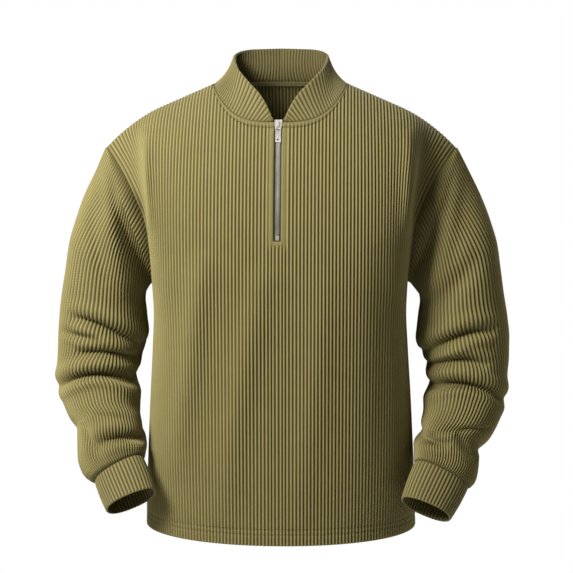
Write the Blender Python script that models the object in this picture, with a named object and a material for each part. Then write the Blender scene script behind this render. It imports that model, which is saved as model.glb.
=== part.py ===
"""A quarter-zip pullover in a heavy ribbed knit, hollow and filled out as if worn.

Metres, +Z up. The origin is the middle of the neck opening at the level of the shoulder seams,
the wearer faces -Y and the wearer's left is +X. Every cloth piece is a wall with its own
thickness, cut and joined as it is sewn: front, back, two drop-shoulder sleeves, two ribbed cuffs,
a ribbed stand collar that opens into a V, and a short metal zip in a slit of the front.
"""

import math

import bmesh
import bpy
import numpy as np

# ---- Driving sizes ----------------------------------------------------------------------------
SEAM_GAP = 0.0003
CLOTH = 0.0024
RIB_HEIGHT = 0.0006
HALF_PANEL = 0.290

NECK_HALF_WIDTH = 0.106
NECK_SIDE_Z = 0.0115
NECK_FRONT_Z = -0.0466
NECK_BACK_Z = 0.0160
NECK_FRONT_POWER = 3.5
NECK_BACK_POWER = 3.0
CREST_Z = 0.028

TIP_X = 0.2765
SHOULDER_SLOPE = 0.435
SHOULDER_BEND = 3.2
BEND_FROM_X = 0.188

UNDERARM_X = 0.1985
UNDERARM_Z = -0.300
SIDE_SEAM_Y = -0.006

SLIT_HALF = 0.0058
SLIT_BOTTOM_Z = -0.2245
BAND_OUTER = 0.0130
NECK_BAND = 0.009
BAND_LIFT = 0.6
EVEN_FROM = 0.50

ZIP_HALF = 0.0031
ZIP_FRONT = -0.0008
ZIP_THICK = 0.0026
ZIP_TOP_Z = -0.0500
ZIP_END_Z = -0.2150
STOP_TOP_Z = -0.2153
STOP_FOOT_Z = -0.2232
STOP_HALF = 0.0030
TAPE_OUTER_X = 0.0150
TAPE_THICK = 0.0007
TAPE_GAP = 0.0005
TAPE_TOP_Z = -0.0490
TAPE_FOOT_Z = -0.2310
TAPE_END_INSET = 0.008

SLIDER_Z = -0.0510
SLIDER_LENGTH = 0.0155
SLIDER_HALF_TOP = 0.0062
SLIDER_HALF_FOOT = 0.0051
PLATE_THICK = 0.0014
PLATE_LIFT = 0.0011
BACK_LIFT = 0.0007
CLAMP_HALF = 0.0052
WEDGE_LENGTH = 0.0040
BRIDGE_HALF = 0.0012
BRIDGE_REACH = 0.0050
BRIDGE_CLEAR = 0.0020
BRIDGE_BAR = 0.0014
PLATE_SINK = 0.0005

TAB_HALF = 0.0044
TAB_LENGTH = 0.0258
TAB_DROP = 0.0028
TAB_THICK = 0.0011
TAB_BAR = 0.0006
TAB_EYE_HALF = 0.0026
TAB_EYE_FOOT = 0.0068
TAB_SLOT_HALF = 0.0022
TAB_SLOT_TOP = 0.0205
TAB_SLOT_FOOT = 0.0232

LOW_HEIGHTS = (-0.6940, -0.5200, -0.3600, UNDERARM_Z)
LOW_ROWS = len(LOW_HEIGHTS) - 1
LOW_FINE = 40
UP_ROWS = 9
SLIT_ROW = 3
NECK_RIB_STEPS = 16
SIDE_RIB_STEPS = 28
SLEEVE_STEPS_A_ROW = 3

# Steps between the columns that a panel's plain inner side keeps, from its centre to its edge.
INNER_SHARE = (0.00, 0.21, 0.22, 0.36, 0.37, 0.55, 0.56, 1.00)
INNER_STEP = (2, 2, 1, 1, 5, 5, 2, 2)
FIRST_KEPT = 3

# Columns before the ribs begin, for the front (-1) and the back (+1).
FIRST_COLUMNS = {-1: (SLIT_HALF, BAND_OUTER), 1: (0.0,)}

# Level rings of the body from the hem to the underarm.
# Columns: height, half_width, fold_y, front_depth, back_depth, squareness.
TORSO = np.array([
    [-0.6940, 0.2160, -0.006, 0.1500, 0.1220, 2.06],
    [-0.6400, 0.2145, -0.006, 0.1500, 0.1190, 2.20],
    [-0.5600, 0.2105, -0.008, 0.1505, 0.1160, 2.40],
    [-0.4800, 0.2060, -0.012, 0.1510, 0.1150, 2.50],
    [-0.4000, 0.2005, -0.020, 0.1515, 0.1160, 2.65],
    [-0.3400, 0.1972, -0.030, 0.1515, 0.1185, 2.80],
    [-0.3000, 0.1985, -0.038, 0.1510, 0.1200, 2.90],
])

# Sections above the underarm: the chest turns back at the fold beside the arm, and the cloth
# then runs in a trough, "reach" deep, out to the armhole edge.
# Columns: rise, fold_x, fold_y, front_depth, back_depth, squareness, reach.
CHEST = np.array([
    [0.00, 0.1985, -0.038, 0.1510, 0.1200, 2.90, 0.000],
    [0.15, 0.2005, -0.046, 0.1510, 0.1200, 2.95, 0.000],
    [0.35, 0.2035, -0.062, 0.1510, 0.1200, 3.05, 0.000],
    [0.55, 0.2050, -0.078, 0.1510, 0.1200, 3.15, 0.008],
    [0.75, 0.2090, -0.086, 0.1510, 0.1200, 3.10, 0.012],
    [0.90, 0.2200, -0.080, 0.1510, 0.1200, 2.80, 0.004],
    [1.00, 0.2400, -0.070, 0.1510, 0.1200, 2.60, 0.000],
])

# On the back the fold lies nearer the side, but always this far outside the armhole edge.
BACK_FOLD_PART = 0.8
BACK_REACH_PART = 0.4
LEAST_RUN = 0.008

# How far the trough beside the arm curls back towards the body where it is DEEP_REACH deep.
TROUGH_INSET = 0.010
DEEP_REACH = 0.020

# The chest's sections lean in to the shoulder along a rounded profile: its power, and the share
# of the depth that is left where the shoulder begins.
EDGE_ROUNDING = 2.5
LEAST_FALL = 0.3
LAST_LEAN = 0.97
CHEST_LEVELS = 20
EDGE_PULL_FROM = 0.70

# The armhole edge from the underarm (rise 0) to the shoulder tip (rise 1).
# Columns: rise, x, front_y, back_y.
ARMHOLE = np.array([
    [0.00, 0.1985, -0.006, -0.006],
    [0.12, 0.2030, -0.022, 0.014],
    [0.28, 0.2065, -0.040, 0.030],
    [0.45, 0.2112, -0.052, 0.043],
    [0.62, 0.2233, -0.057, 0.050],
    [0.80, 0.2442, -0.038, 0.034],
    [0.92, 0.2624, -0.018, 0.016],
    [1.00, TIP_X, 0.000, 0.000],
])

# Roundness of the run from chest to shoulder, across the panel from its centre to its edge.
ROUNDING_SHARE = (0.00, 0.36, 0.60, 0.85, 1.00)
FRONT_ROUNDING = (2.0, 2.0, 2.1, 2.3, 2.5)
BACK_ROUNDING = (2.4, 2.4, 2.3, 2.3, 2.5)

# Sleeve rings from the armhole to the cuff seam: "along" counts the rings, "out" and "in" are
# the outer and inner sides seen from the front, "mid_y" is the ring's middle and "pitch" how far
# its lower end swings forward, in degrees.
# Columns: along, out_x, out_z, in_x, in_z, mid_y, half_depth, pitch.
SLEEVE_RIGHT = np.array([
    [0.0, 0.2765, -0.0880, 0.1985, -0.3000, 0.000, 0.066, 0],
    [1.0, 0.2945, -0.1290, 0.2055, -0.3030, 0.001, 0.069, 0],
    [2.0, 0.3130, -0.1665, 0.2100, -0.3075, 0.002, 0.072, 0],
    [3.0, 0.3268, -0.2045, 0.2148, -0.3135, 0.003, 0.074, 0],
    [4.0, 0.3370, -0.2430, 0.2190, -0.3220, 0.004, 0.075, 0],
    [5.0, 0.3428, -0.2816, 0.2200, -0.3340, 0.004, 0.075, 0],
    [6.0, 0.3495, -0.3200, 0.2180, -0.3530, 0.004, 0.075, 0],
    [7.0, 0.3540, -0.3590, 0.2168, -0.3770, 0.004, 0.074, 2],
    [8.0, 0.3562, -0.3886, 0.2182, -0.3990, 0.004, 0.073, 5],
    [9.0, 0.3575, -0.4200, 0.2240, -0.4190, 0.003, 0.072, 9],
    [10.0, 0.3585, -0.4455, 0.2340, -0.4380, 0.000, 0.071, 13],
    [11.0, 0.3580, -0.4760, 0.2320, -0.4570, -0.007, 0.069, 18],
    [12.0, 0.3465, -0.5010, 0.2262, -0.4790, -0.018, 0.066, 22],
    [13.0, 0.3355, -0.5200, 0.2265, -0.5010, -0.031, 0.063, 25],
    [14.0, 0.3210, -0.5370, 0.2205, -0.5220, -0.044, 0.060, 28],
    [15.0, 0.3190, -0.5560, 0.2130, -0.5400, -0.057, 0.056, 30],
    [16.0, 0.3165, -0.5800, 0.2120, -0.5550, -0.071, 0.050, 32],
    [16.5, 0.3085, -0.5990, 0.2120, -0.5625, -0.079, 0.045, 32],
    [17.0, 0.2890, -0.6110, 0.2130, -0.5700, -0.088, 0.036, 32],
])
SLEEVE_LEFT = np.array([
    [0.0, 0.2765, -0.0880, 0.1985, -0.3000, 0.000, 0.066, 0],
    [1.0, 0.2970, -0.1280, 0.2055, -0.3030, 0.001, 0.069, 0],
    [2.0, 0.3155, -0.1655, 0.2105, -0.3075, 0.002, 0.072, 0],
    [3.0, 0.3305, -0.2030, 0.2160, -0.3135, 0.003, 0.074, 0],
    [4.0, 0.3418, -0.2410, 0.2220, -0.3220, 0.004, 0.075, 0],
    [5.0, 0.3475, -0.2790, 0.2235, -0.3340, 0.004, 0.075, 0],
    [6.0, 0.3530, -0.3170, 0.2210, -0.3530, 0.004, 0.075, 0],
    [7.0, 0.3595, -0.3560, 0.2190, -0.3770, 0.004, 0.074, 2],
    [8.0, 0.3630, -0.3900, 0.2200, -0.3990, 0.004, 0.073, 5],
    [9.0, 0.3628, -0.4220, 0.2290, -0.4190, 0.003, 0.072, 9],
    [10.0, 0.3605, -0.4506, 0.2375, -0.4420, 0.000, 0.071, 13],
    [11.0, 0.3590, -0.4810, 0.2365, -0.4640, -0.007, 0.069, 18],
    [12.0, 0.3545, -0.5020, 0.2300, -0.4860, -0.018, 0.066, 22],
    [13.0, 0.3455, -0.5210, 0.2285, -0.5080, -0.031, 0.063, 25],
    [14.0, 0.3325, -0.5410, 0.2230, -0.5300, -0.044, 0.060, 28],
    [15.0, 0.3135, -0.5600, 0.2145, -0.5460, -0.057, 0.056, 30],
    [16.0, 0.3115, -0.5820, 0.2125, -0.5600, -0.071, 0.050, 32],
    [16.5, 0.3075, -0.6030, 0.2122, -0.5675, -0.079, 0.045, 32],
    [17.0, 0.2950, -0.6150, 0.2125, -0.5750, -0.088, 0.036, 32],
])
SLEEVE_RING_SHARES = (0.0, 0.22, 1.0)
SLEEVE_RING_PLACES = (0.0, 6.0, 17.0)
SLEEVE_RINGS = 24
BACK_FOLD_DROP = 0.012
BACK_FOLD_DEPTH = 0.7
TIGHT_BEND = (0.34, 0.47)
ARMHOLE_BLEND = 4.0

# Sleeve folds: a trough along a curve through three places seen from the front, "width" to each
# side and "depth" into the cloth, with a roll of cloth "roll" high just above it.
# Columns: x0, z0, x1, z1, x2, z2, width, depth, roll.
FOLDS_RIGHT = np.array([
    [0.2430, -0.1550, 0.2300, -0.2250, 0.2120, -0.3060, 0.013, 0.015, 0.000],
    [0.3162, -0.3601, 0.2640, -0.3740, 0.2219, -0.4125, 0.009, 0.007, 0.004],
    [0.3067, -0.4068, 0.2659, -0.4159, 0.2266, -0.4203, 0.008, 0.006, 0.003],
    [0.3480, -0.4620, 0.2850, -0.4300, 0.2219, -0.4592, 0.010, 0.012, 0.006],
    [0.3219, -0.4984, 0.2700, -0.4990, 0.2179, -0.5173, 0.010, 0.009, 0.006],
    [0.2626, -0.5445, 0.2400, -0.5370, 0.2077, -0.5470, 0.007, 0.007, 0.004],
    [0.3050, -0.5406, 0.2980, -0.5675, 0.2660, -0.5827, 0.010, 0.005, 0.000],
])
FOLDS_LEFT = np.array([
    [0.2400, -0.1550, 0.2290, -0.2250, 0.2130, -0.3000, 0.013, 0.015, 0.000],
    [0.3241, -0.3708, 0.2716, -0.3800, 0.2331, -0.4099, 0.009, 0.007, 0.004],
    [0.3105, -0.4234, 0.2749, -0.4170, 0.2394, -0.4315, 0.008, 0.006, 0.003],
    [0.3510, -0.4772, 0.2960, -0.4440, 0.2380, -0.4640, 0.010, 0.012, 0.006],
    [0.3105, -0.5195, 0.2700, -0.5170, 0.2194, -0.5246, 0.010, 0.009, 0.006],
    [0.2578, -0.5434, 0.2348, -0.5370, 0.2130, -0.5508, 0.007, 0.007, 0.004],
    [0.3094, -0.2474, 0.2727, -0.2985, 0.2328, -0.3512, 0.012, 0.006, 0.003],
])

# The cuff's open end, in the columns of the sleeve tables, for the wearer's right and left.
CUFF_END_RIGHT = np.array([0.2665, -0.6490, 0.1895, -0.6160, -0.121, 0.034, 33])
CUFF_END_LEFT = np.array([0.2660, -0.6565, 0.1905, -0.6260, -0.121, 0.034, 33])
CUFF_CLOTH = 0.0028
CUFF_RIBS = 24
CUFF_ROWS = 2

# The collar's free edge, from the foot of the V round to the centre back: "share" of the neckline.
# Columns: share, x, y, z.
COLLAR_EDGE = np.array([
    [0.000, 0.0085, -0.0975, -0.0430],
    [0.042, 0.0106, -0.0951, -0.0379],
    [0.090, 0.0176, -0.0872, -0.0220],
    [0.150, 0.0303, -0.0754, -0.0024],
    [0.210, 0.0468, -0.0617, 0.0142],
    [0.305, 0.0680, -0.0272, 0.0378],
    [0.400, 0.0738, -0.0010, 0.0514],
    [0.500, 0.0740, 0.0078, 0.0552],
    [0.600, 0.0734, 0.0156, 0.0583],
    [0.700, 0.0679, 0.0267, 0.0620],
    [0.800, 0.0492, 0.0400, 0.0652],
    [0.900, 0.0255, 0.0454, 0.0659],
    [1.000, 0.0000, 0.0500, 0.0665],
])
COLLAR_START_X = 0.0085
COLLAR_CLOTH = 0.0030
COLLAR_FOLD = 0.0045
COLLAR_RIBS = 54
COLLAR_ROWS = 4
COLLAR_TUCK = 0.007
COLLAR_INNER_STEP = 2

KNIT_COLOUR = (0.21, 0.18, 0.075, 1.0)
RIB_COLOUR = (0.19, 0.165, 0.068, 1.0)
TAPE_COLOUR = (0.09, 0.08, 0.035, 1.0)
METAL_COLOUR = (0.55, 0.53, 0.49, 1.0)


# ---- Curves and sections ----------------------------------------------------------------------
def smooth_rows(table, places):
    """Rows read from a table at places in its first column, on a smooth curve with no overshoot."""
    knots = table[:, 0]
    span = np.diff(knots)
    places = np.clip(np.asarray(places, float), knots[0], knots[-1])
    index = np.clip(np.searchsorted(knots, places, side="right") - 1, 0, len(span) - 1)
    t = ((places - knots[index]) / span[index])[..., None]
    rise = np.diff(table, axis=0) / span[:, None]
    slope = np.zeros_like(table)
    slope[0], slope[-1] = rise[0], rise[-1]
    before, after = rise[:-1], rise[1:]
    same_way = before * after > 0
    mean = np.where(same_way, 2 * before * after / np.where(same_way, before + after, 1.0), 0.0)
    slope[1:-1] = mean
    width = span[index][..., None]
    return ((1 + 2 * t) * (1 - t) ** 2 * table[index]
            + t * (1 - t) ** 2 * width * slope[index]
            + t * t * (3 - 2 * t) * table[index + 1]
            + t * t * (t - 1) * width * slope[index + 1])


def resample(points, shares, keep_from=None):
    """Rows at the given shares of a polyline's length; columns after the third are carried along."""
    steps = np.linalg.norm(np.diff(points[:, :3], axis=0), axis=1)
    along = np.concatenate([[0.0], np.cumsum(steps)])
    at = np.asarray(shares) * along[-1]
    if keep_from is not None:
        spare = along[-1] - HALF_PANEL
        at = np.asarray(shares) * HALF_PANEL + spare * ease(keep_from, 1.0, shares)
    return np.stack([np.interp(at, along, points[:, i]) for i in range(points.shape[1])], axis=-1)


def ease(start, end, value):
    """0 before start, 1 after end and smooth between."""
    t = np.clip((np.asarray(value, float) - start) / (end - start), 0, 1)
    return t * t * (3 - 2 * t)


def unit(vectors):
    return vectors / np.maximum(np.linalg.norm(vectors, axis=-1, keepdims=True), 1e-12)


def shoulder_z(x):
    """Height of the shoulder seam: straight off the neck, bending down over the arm."""
    bend = np.maximum(x - BEND_FROM_X, 0) ** 2
    return NECK_SIDE_Z - SHOULDER_SLOPE * (x - NECK_HALF_WIDTH) - SHOULDER_BEND * bend


def neckline_z(x, facing):
    """Height of the neckline above a place beside the centre; facing is -1 front, +1 back."""
    part = np.clip(np.abs(x) / NECK_HALF_WIDTH, 0, 1)
    if facing < 0:
        return NECK_FRONT_Z + (NECK_SIDE_Z - NECK_FRONT_Z) * part ** NECK_FRONT_POWER
    return NECK_BACK_Z + (NECK_SIDE_Z - NECK_BACK_Z) * part ** NECK_BACK_POWER


def armhole(rise, facing):
    """Armhole edge from the underarm (rise 0) to the shoulder tip (rise 1)."""
    _, x, front_y, back_y = np.moveaxis(smooth_rows(ARMHOLE, rise), -1, 0)
    z = UNDERARM_Z + (float(shoulder_z(TIP_X)) - UNDERARM_Z) * np.asarray(rise, float)
    return np.stack([x, front_y if facing < 0 else back_y, z], axis=-1)


def section(half_width, turn_y, depth, squareness, reach, edge):
    """Half a level section in front: centre to the side fold, then back and out to the edge."""
    turn = np.linspace(0.0, math.pi / 2, 160)
    x = half_width * np.sin(turn) ** (2 / squareness)
    y = turn_y - (depth + turn_y) * np.cos(turn) ** (2 / squareness)
    curve = np.stack([x, y], axis=-1)
    fold = curve[-1]
    if reach > 0 or np.hypot(*(edge - fold)) > SEAM_GAP:
        t = np.linspace(0.0, 1.0, 50)[1:, None]
        inset = TROUGH_INSET * min(1.0, reach / DEEP_REACH)
        leave = fold + [inset / 5, max(reach, (edge - fold)[1] / 3)]
        arrive = edge + [-inset, reach if reach > 0 else -(edge - fold)[1] / 3]
        tail = ((1 - t) ** 3 * fold + 3 * t * (1 - t) ** 2 * leave
                + 3 * t * t * (1 - t) * arrive + t ** 3 * edge)
        curve = np.concatenate([curve, tail])
    return curve


# ---- Panels -----------------------------------------------------------------------------------
def lower_columns(shares, facing, heights):
    """Level half rings of the body: (heights, shares, 3)."""
    rings = []
    for height, half_width, fold_y, front_depth, back_depth, squareness in smooth_rows(TORSO, heights):
        seam_y = SIDE_SEAM_Y * -facing
        side = np.array([half_width, seam_y])
        if facing < 0:
            half = section(half_width, fold_y, front_depth, squareness, 0.0, side)
        else:
            half = section(half_width, seam_y, back_depth, squareness, 0.0, side)
        half = resample(half, shares, EVEN_FROM)
        rings.append(np.column_stack([half[:, 0], -facing * half[:, 1], np.full(len(half), height)]))
    return np.array(rings)


def upper_columns(shares, facing, fine=81):
    """Dense columns from the underarm level up to the shoulder seam's line: (fine, shares, 3)."""
    neck_share = NECK_HALF_WIDTH / HALF_PANEL
    across = np.where(shares <= neck_share, shares * HALF_PANEL,
                      NECK_HALF_WIDTH + (TIP_X - NECK_HALF_WIDTH) * (shares - neck_share) / (1 - neck_share))
    crest = CREST_Z - (CREST_Z - NECK_SIDE_Z) * (across / NECK_HALF_WIDTH) ** 2
    top_z = np.where(across < NECK_HALF_WIDTH, crest, shoulder_z(across))
    rounding = np.interp(shares, ROUNDING_SHARE, FRONT_ROUNDING if facing < 0 else BACK_ROUNDING)

    sections = []
    for row in smooth_rows(CHEST, np.linspace(0, 1, CHEST_LEVELS + 1)):
        rise, fold_x, fold_y, front_depth, back_depth, squareness, reach = row
        edge = armhole(rise, facing)
        fall = max((1 - min(rise, LAST_LEAN) ** EDGE_ROUNDING) ** (1 / EDGE_ROUNDING), LEAST_FALL)
        low = SIDE_SEAM_Y * -facing
        end = np.array([edge[0], -abs(edge[1]) / fall if rise > 0.02 else low])
        if facing < 0:
            half = section(fold_x, fold_y, front_depth, squareness, reach, end)
        else:
            turn_y = low * (1 - rise) + BACK_FOLD_PART * fold_y * float(ease(0, 0.3, rise))
            turn_y = min(turn_y, end[1] - LEAST_RUN * float(ease(0, 0.12, rise)))
            half = section(fold_x, turn_y, back_depth, squareness, BACK_REACH_PART * reach, end)
        half = resample(half, shares, EVEN_FROM)
        half[:, 1] *= -facing
        sections.append(half)
    sections = np.array(sections)

    columns = np.arange(len(shares))
    quarter = np.linspace(0, math.pi / 2, fine)
    rows = []
    for angle in quarter:
        rise = np.sin(angle) ** (2 / rounding)
        fall = np.cos(angle) ** (2 / rounding)
        level = np.minimum((rise * CHEST_LEVELS).astype(int), CHEST_LEVELS - 1)
        part = (rise * CHEST_LEVELS - level)[:, None]
        flat = sections[level, columns] * (1 - part) + sections[level + 1, columns] * part
        out = rise ** 2
        rows.append(np.stack([flat[:, 0] * (1 - out) + across * out, flat[:, 1] * fall,
                              UNDERARM_Z + (top_z - UNDERARM_Z) * rise], axis=-1))
    rows = np.array(rows)
    edge = armhole(np.sin(quarter) ** (2 / EDGE_ROUNDING), facing)
    pull = ease(EDGE_PULL_FROM, 1.0, shares)[None, :, None]
    return rows + pull * (edge - rows[:, -1])[:, None, :]


def cut_at_neckline(column, facing):
    """A dense column, ended where it meets the neckline."""
    if column[-1, 0] >= NECK_HALF_WIDTH - 1e-6:
        return column
    over = column[:, 2] - neckline_z(column[:, 0], facing)
    after = int(np.argmax(over > 0))
    part = -over[after - 1] / (over[after] - over[after - 1])
    meeting = column[after - 1] + part * (column[after] - column[after - 1])
    return np.concatenate([column[:after], [meeting]])


def lengths_along(line):
    """Running length along a polyline, from its first point."""
    steps = np.linalg.norm(np.diff(line[:, :3], axis=0), axis=1)
    return np.concatenate([[0.0], np.cumsum(steps)])


def neck_lengths(facing):
    """Lengths of the upper columns at the centre and at the neck's side point."""
    neck_share = NECK_HALF_WIDTH / HALF_PANEL
    ends = upper_columns(np.array([0.0, neck_share]), facing)
    return [lengths_along(cut_at_neckline(ends[:, index], facing))[-1] for index in (0, 1)]


def row_shares(column, share, facing, centre_length, neck_length):
    """Where the rows lie along one upper column: even low down, then drawn to the neckline."""
    even = np.linspace(0, 1, UP_ROWS + 1)
    along = lengths_along(column)
    part = min(share * HALF_PANEL / NECK_HALF_WIDTH, 1.0)
    plain = centre_length + (neck_length - centre_length) * part ** 1.5
    plain = plain if part < 1 else along[-1]
    near_neck = 1 - float(ease(0.30, 0.60, share))
    rows = even.copy()
    if facing < 0:
        foot = np.interp(SLIT_BOTTOM_Z, column[:, 2], along) / plain
        below = np.linspace(0, foot, SLIT_ROW + 1)
        above = np.linspace(foot, 1 - NECK_BAND / plain, UP_ROWS - SLIT_ROW)
        special = np.concatenate([below, above[1:], [1.0]])
        rows += (special - even) * near_neck
    placed = rows * plain + (along[-1] - plain) * even ** 5
    band = along[-1] - NECK_BAND
    placed[-2] += (band - placed[-2]) * near_neck
    return placed / along[-1]


def half_panel(shares, facing):
    """Half a panel's middle surface and its outward directions, from the hem up."""
    shares = np.asarray(shares, float)
    low = lower_columns(shares, facing, np.linspace(LOW_HEIGHTS[0], UNDERARM_Z, LOW_FINE + 1))
    dense = np.concatenate([low[:-1], upper_columns(shares, facing)])
    whole = np.concatenate([dense, grid_normals(dense, (0.3, facing, 0.1))], axis=-1)
    fine_heights = dense[:LOW_FINE + 1, 0, 2]
    rows = [whole[np.argmin(np.abs(fine_heights - height))] for height in LOW_HEIGHTS]
    high = []
    ends = neck_lengths(facing)
    for column, share in enumerate(shares):
        line = cut_at_neckline(whole[LOW_FINE:, column], facing)
        high.append(resample(line, row_shares(line, share, facing, *ends)[1:]))
    both = np.concatenate([np.array(rows), np.array(high).transpose(1, 0, 2)])
    grid, normals = both[..., :3], unit(both[..., 3:])
    part = facing * SEAM_GAP / 2
    grid[:, -1, 1] += np.where(np.arange(len(grid)) <= LOW_ROWS, part, 0.0)
    on_shoulder = shares >= NECK_HALF_WIDTH / HALF_PANEL - 1e-9
    grid[-1, on_shoulder, 1] += part
    normals[-1, on_shoulder, 1] = 0
    normals[:LOW_ROWS, -1, 1:] = 0
    return grid, unit(normals)


def panel_shares(first):
    """Shares of a half panel's columns: 'first' holds those before the ribs begin, in metres."""
    neck = np.linspace(first[-1], NECK_HALF_WIDTH, NECK_RIB_STEPS + 1)
    side = np.linspace(NECK_HALF_WIDTH, HALF_PANEL, SIDE_RIB_STEPS + 1)
    return np.concatenate([first[:-1], neck[:-1], side]) / HALF_PANEL


def whole_panel(half, half_normals):
    """Both halves side by side, from the wearer's right to the left, with their directions."""
    start = 1 if abs(half[0, 0, 0]) < 1e-9 else 0
    if start:
        half_normals[:, 0, 0] = 0
    sides = []
    for values in (half, half_normals):
        sides.append(np.concatenate([values[:, start:][:, ::-1] * [-1, 1, 1], values], axis=1))
    return sides[0], unit(sides[1])


def grid_normals(grid, outward, closed=False):
    """Unit normals of a grid, all turned to the side that 'outward' points to at its middle."""
    if closed:
        across = np.roll(grid, -1, axis=1) - np.roll(grid, 1, axis=1)
    else:
        across = np.gradient(grid, axis=1)
    normals = unit(np.cross(across, np.gradient(grid, axis=0)))
    middle = normals[len(normals) // 2, 0 if closed else normals.shape[1] // 2]
    return normals if middle @ np.asarray(outward, float) > 0 else -normals


# ---- Sleeves ----------------------------------------------------------------------------------
def resample_between(points, steps=SLEEVE_STEPS_A_ROW):
    """A polyline with more points along each of its steps."""
    part = np.arange(steps)[:, None] / steps
    pieces = [start + part * (end - start) for start, end in zip(points[:-1], points[1:])]
    return np.concatenate(pieces + [points[-1:]])


def ring_frame(row):
    """Middle, half width, side direction and front direction of one sleeve ring."""
    out_x, out_z, in_x, in_z, mid_y, half_depth, pitch = row
    outer = np.array([out_x, mid_y, out_z])
    inner = np.array([in_x, mid_y, in_z])
    lean = math.radians(pitch)
    front = np.array([0.0, -math.cos(lean), math.sin(lean)])
    return (outer + inner) / 2, (outer - inner) / 2, front * half_depth


def ellipse_ring(row, count, fullness=2.3):
    """A sleeve ring of 'count' even steps from its outer side over the front."""
    middle, side, front = ring_frame(row)
    turn = np.linspace(0, 2 * math.pi, 361)
    wide = np.sign(np.cos(turn)) * np.abs(np.cos(turn)) ** (2 / fullness)
    deep = np.sign(np.sin(turn)) * np.abs(np.sin(turn)) ** (2 / fullness)
    loop = middle + wide[:, None] * side + deep[:, None] * front
    return resample(loop, np.arange(count) / count)


def fold_offset(points, folds):
    """How far each point of the sleeve's front moves in (-) or out (+) for the folds."""
    total = np.zeros(points.shape[:-1])
    for x0, z0, x1, z1, x2, z2, width, depth, roll in folds:
        t = np.linspace(0, 1, 25)[:, None]
        bend = 2 * np.array([x1, z1]) - (np.array([x0, z0]) + np.array([x2, z2])) / 2
        path = (1 - t) ** 2 * [x0, z0] + 2 * t * (1 - t) * bend + t * t * [x2, z2]
        to_path = points[..., None, :][..., [0, 2]] - path
        distance = np.linalg.norm(to_path, axis=-1)
        nearest = np.argmin(distance, axis=-1)
        away = np.take_along_axis(distance, nearest[..., None], axis=-1)[..., 0]
        above = np.take_along_axis(to_path[..., 1], nearest[..., None], axis=-1)[..., 0] > 0
        total -= depth * np.exp(-(away / width) ** 2)
        crest = np.exp(-((away - 1.7 * width) / (0.9 * width)) ** 2)
        total += roll * crest * above
    return total


def sleeve_grid(table, folds, ring_zero, rings=SLEEVE_RINGS):
    """The sleeve's middle surface: rings from the armhole to the cuff seam, outer side first."""
    count = len(ring_zero)
    last = table[-1, 0]
    places = np.interp(np.linspace(0, 1, rings + 1), SLEEVE_RING_SHARES, SLEEVE_RING_PLACES)
    rows = smooth_rows(table, places)[:, 1:]
    start, start_side, start_front = ring_frame(rows[0])
    local = ring_zero - start
    wide = local @ start_side / (start_side @ start_side)
    deep = local @ start_front / (start_front @ start_front)
    grid = []
    for place, row in zip(places, rows):
        middle, side, front = ring_frame(row)
        carried = middle + wide[:, None] * side + deep[:, None] * front
        share = float(ease(0, ARMHOLE_BLEND, place))
        grid.append(carried * (1 - share) + ellipse_ring(row, count) * share)
    grid = np.array(grid)
    grid[0] = ring_zero
    outward = unit(start_side)
    normals = grid_normals(grid, outward, closed=True)
    front_weight = ease(0.0, 0.7, -normals[..., 1])
    ends = ease(0, 2.5, places)[:, None] * ease(0, 1.2, last - places)[:, None]
    offset = fold_offset(grid, folds) * front_weight
    shifted = grid.copy()
    shifted[..., 2] -= BACK_FOLD_DROP
    offset += BACK_FOLD_DEPTH * fold_offset(shifted, folds[1:]) * ease(0.0, 0.7, normals[..., 1])
    return grid + normals * (offset * ends)[..., None]


# ---- Walls ------------------------------------------------------------------------------------
def wall_mesh(name, outer, inner, cuts, closed=False, skip=None):
    """One closed wall: a fine outer grid over an inner grid that has only the columns in 'cuts'."""
    rows, columns = outer.shape[:2]
    mesh = bmesh.new()
    fine = [[mesh.verts.new(point) for point in row] for row in outer]
    plain = [[mesh.verts.new(inner[row, column]) for column in cuts] for row in range(rows)]
    spans = len(cuts) if closed else len(cuts) - 1

    def ends(span):
        start = cuts[span]
        stop = cuts[span + 1] if span + 1 < len(cuts) else columns
        return start, stop

    kept = np.ones((rows - 1, spans), bool)
    if skip is not None:
        for row, span in skip:
            kept[row, span] = False

    def is_kept(row, span):
        if closed:
            span %= spans
        if row < 0 or row >= rows - 1 or span < 0 or span >= spans:
            return False
        return bool(kept[row, span])

    for row in range(rows - 1):
        for span in range(spans):
            if not kept[row, span]:
                continue
            start, stop = ends(span)
            following = (span + 1) % len(cuts)
            for column in range(start, stop):
                beside = (column + 1) % columns
                mesh.faces.new((fine[row][column], fine[row][beside],
                                fine[row + 1][beside], fine[row + 1][column]))
            mesh.faces.new((plain[row][following], plain[row][span],
                            plain[row + 1][span], plain[row + 1][following]))
            if not is_kept(row, span - 1):
                mesh.faces.new((fine[row][start], fine[row + 1][start],
                                plain[row + 1][span], plain[row][span]))
            if not is_kept(row, span + 1):
                mesh.faces.new((fine[row + 1][stop % columns], fine[row][stop % columns],
                                plain[row][following], plain[row + 1][following]))
            along = [column % columns for column in range(start, stop + 1)]
            if not is_kept(row - 1, span):
                mesh.faces.new([fine[row][column] for column in reversed(along)]
                               + [plain[row][span], plain[row][following]])
            if not is_kept(row + 1, span):
                mesh.faces.new([fine[row + 1][column] for column in along]
                               + [plain[row + 1][following], plain[row + 1][span]])
    loose = [vertex for vertex in mesh.verts if not vertex.link_faces]
    bmesh.ops.delete(mesh, geom=loose, context="VERTS")
    bmesh.ops.recalc_face_normals(mesh, faces=mesh.faces)
    bmesh.ops.triangulate(mesh, faces=[face for face in mesh.faces if len(face.verts) > 4])
    data = bpy.data.meshes.new(name)
    mesh.to_mesh(data)
    mesh.free()
    return data


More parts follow.
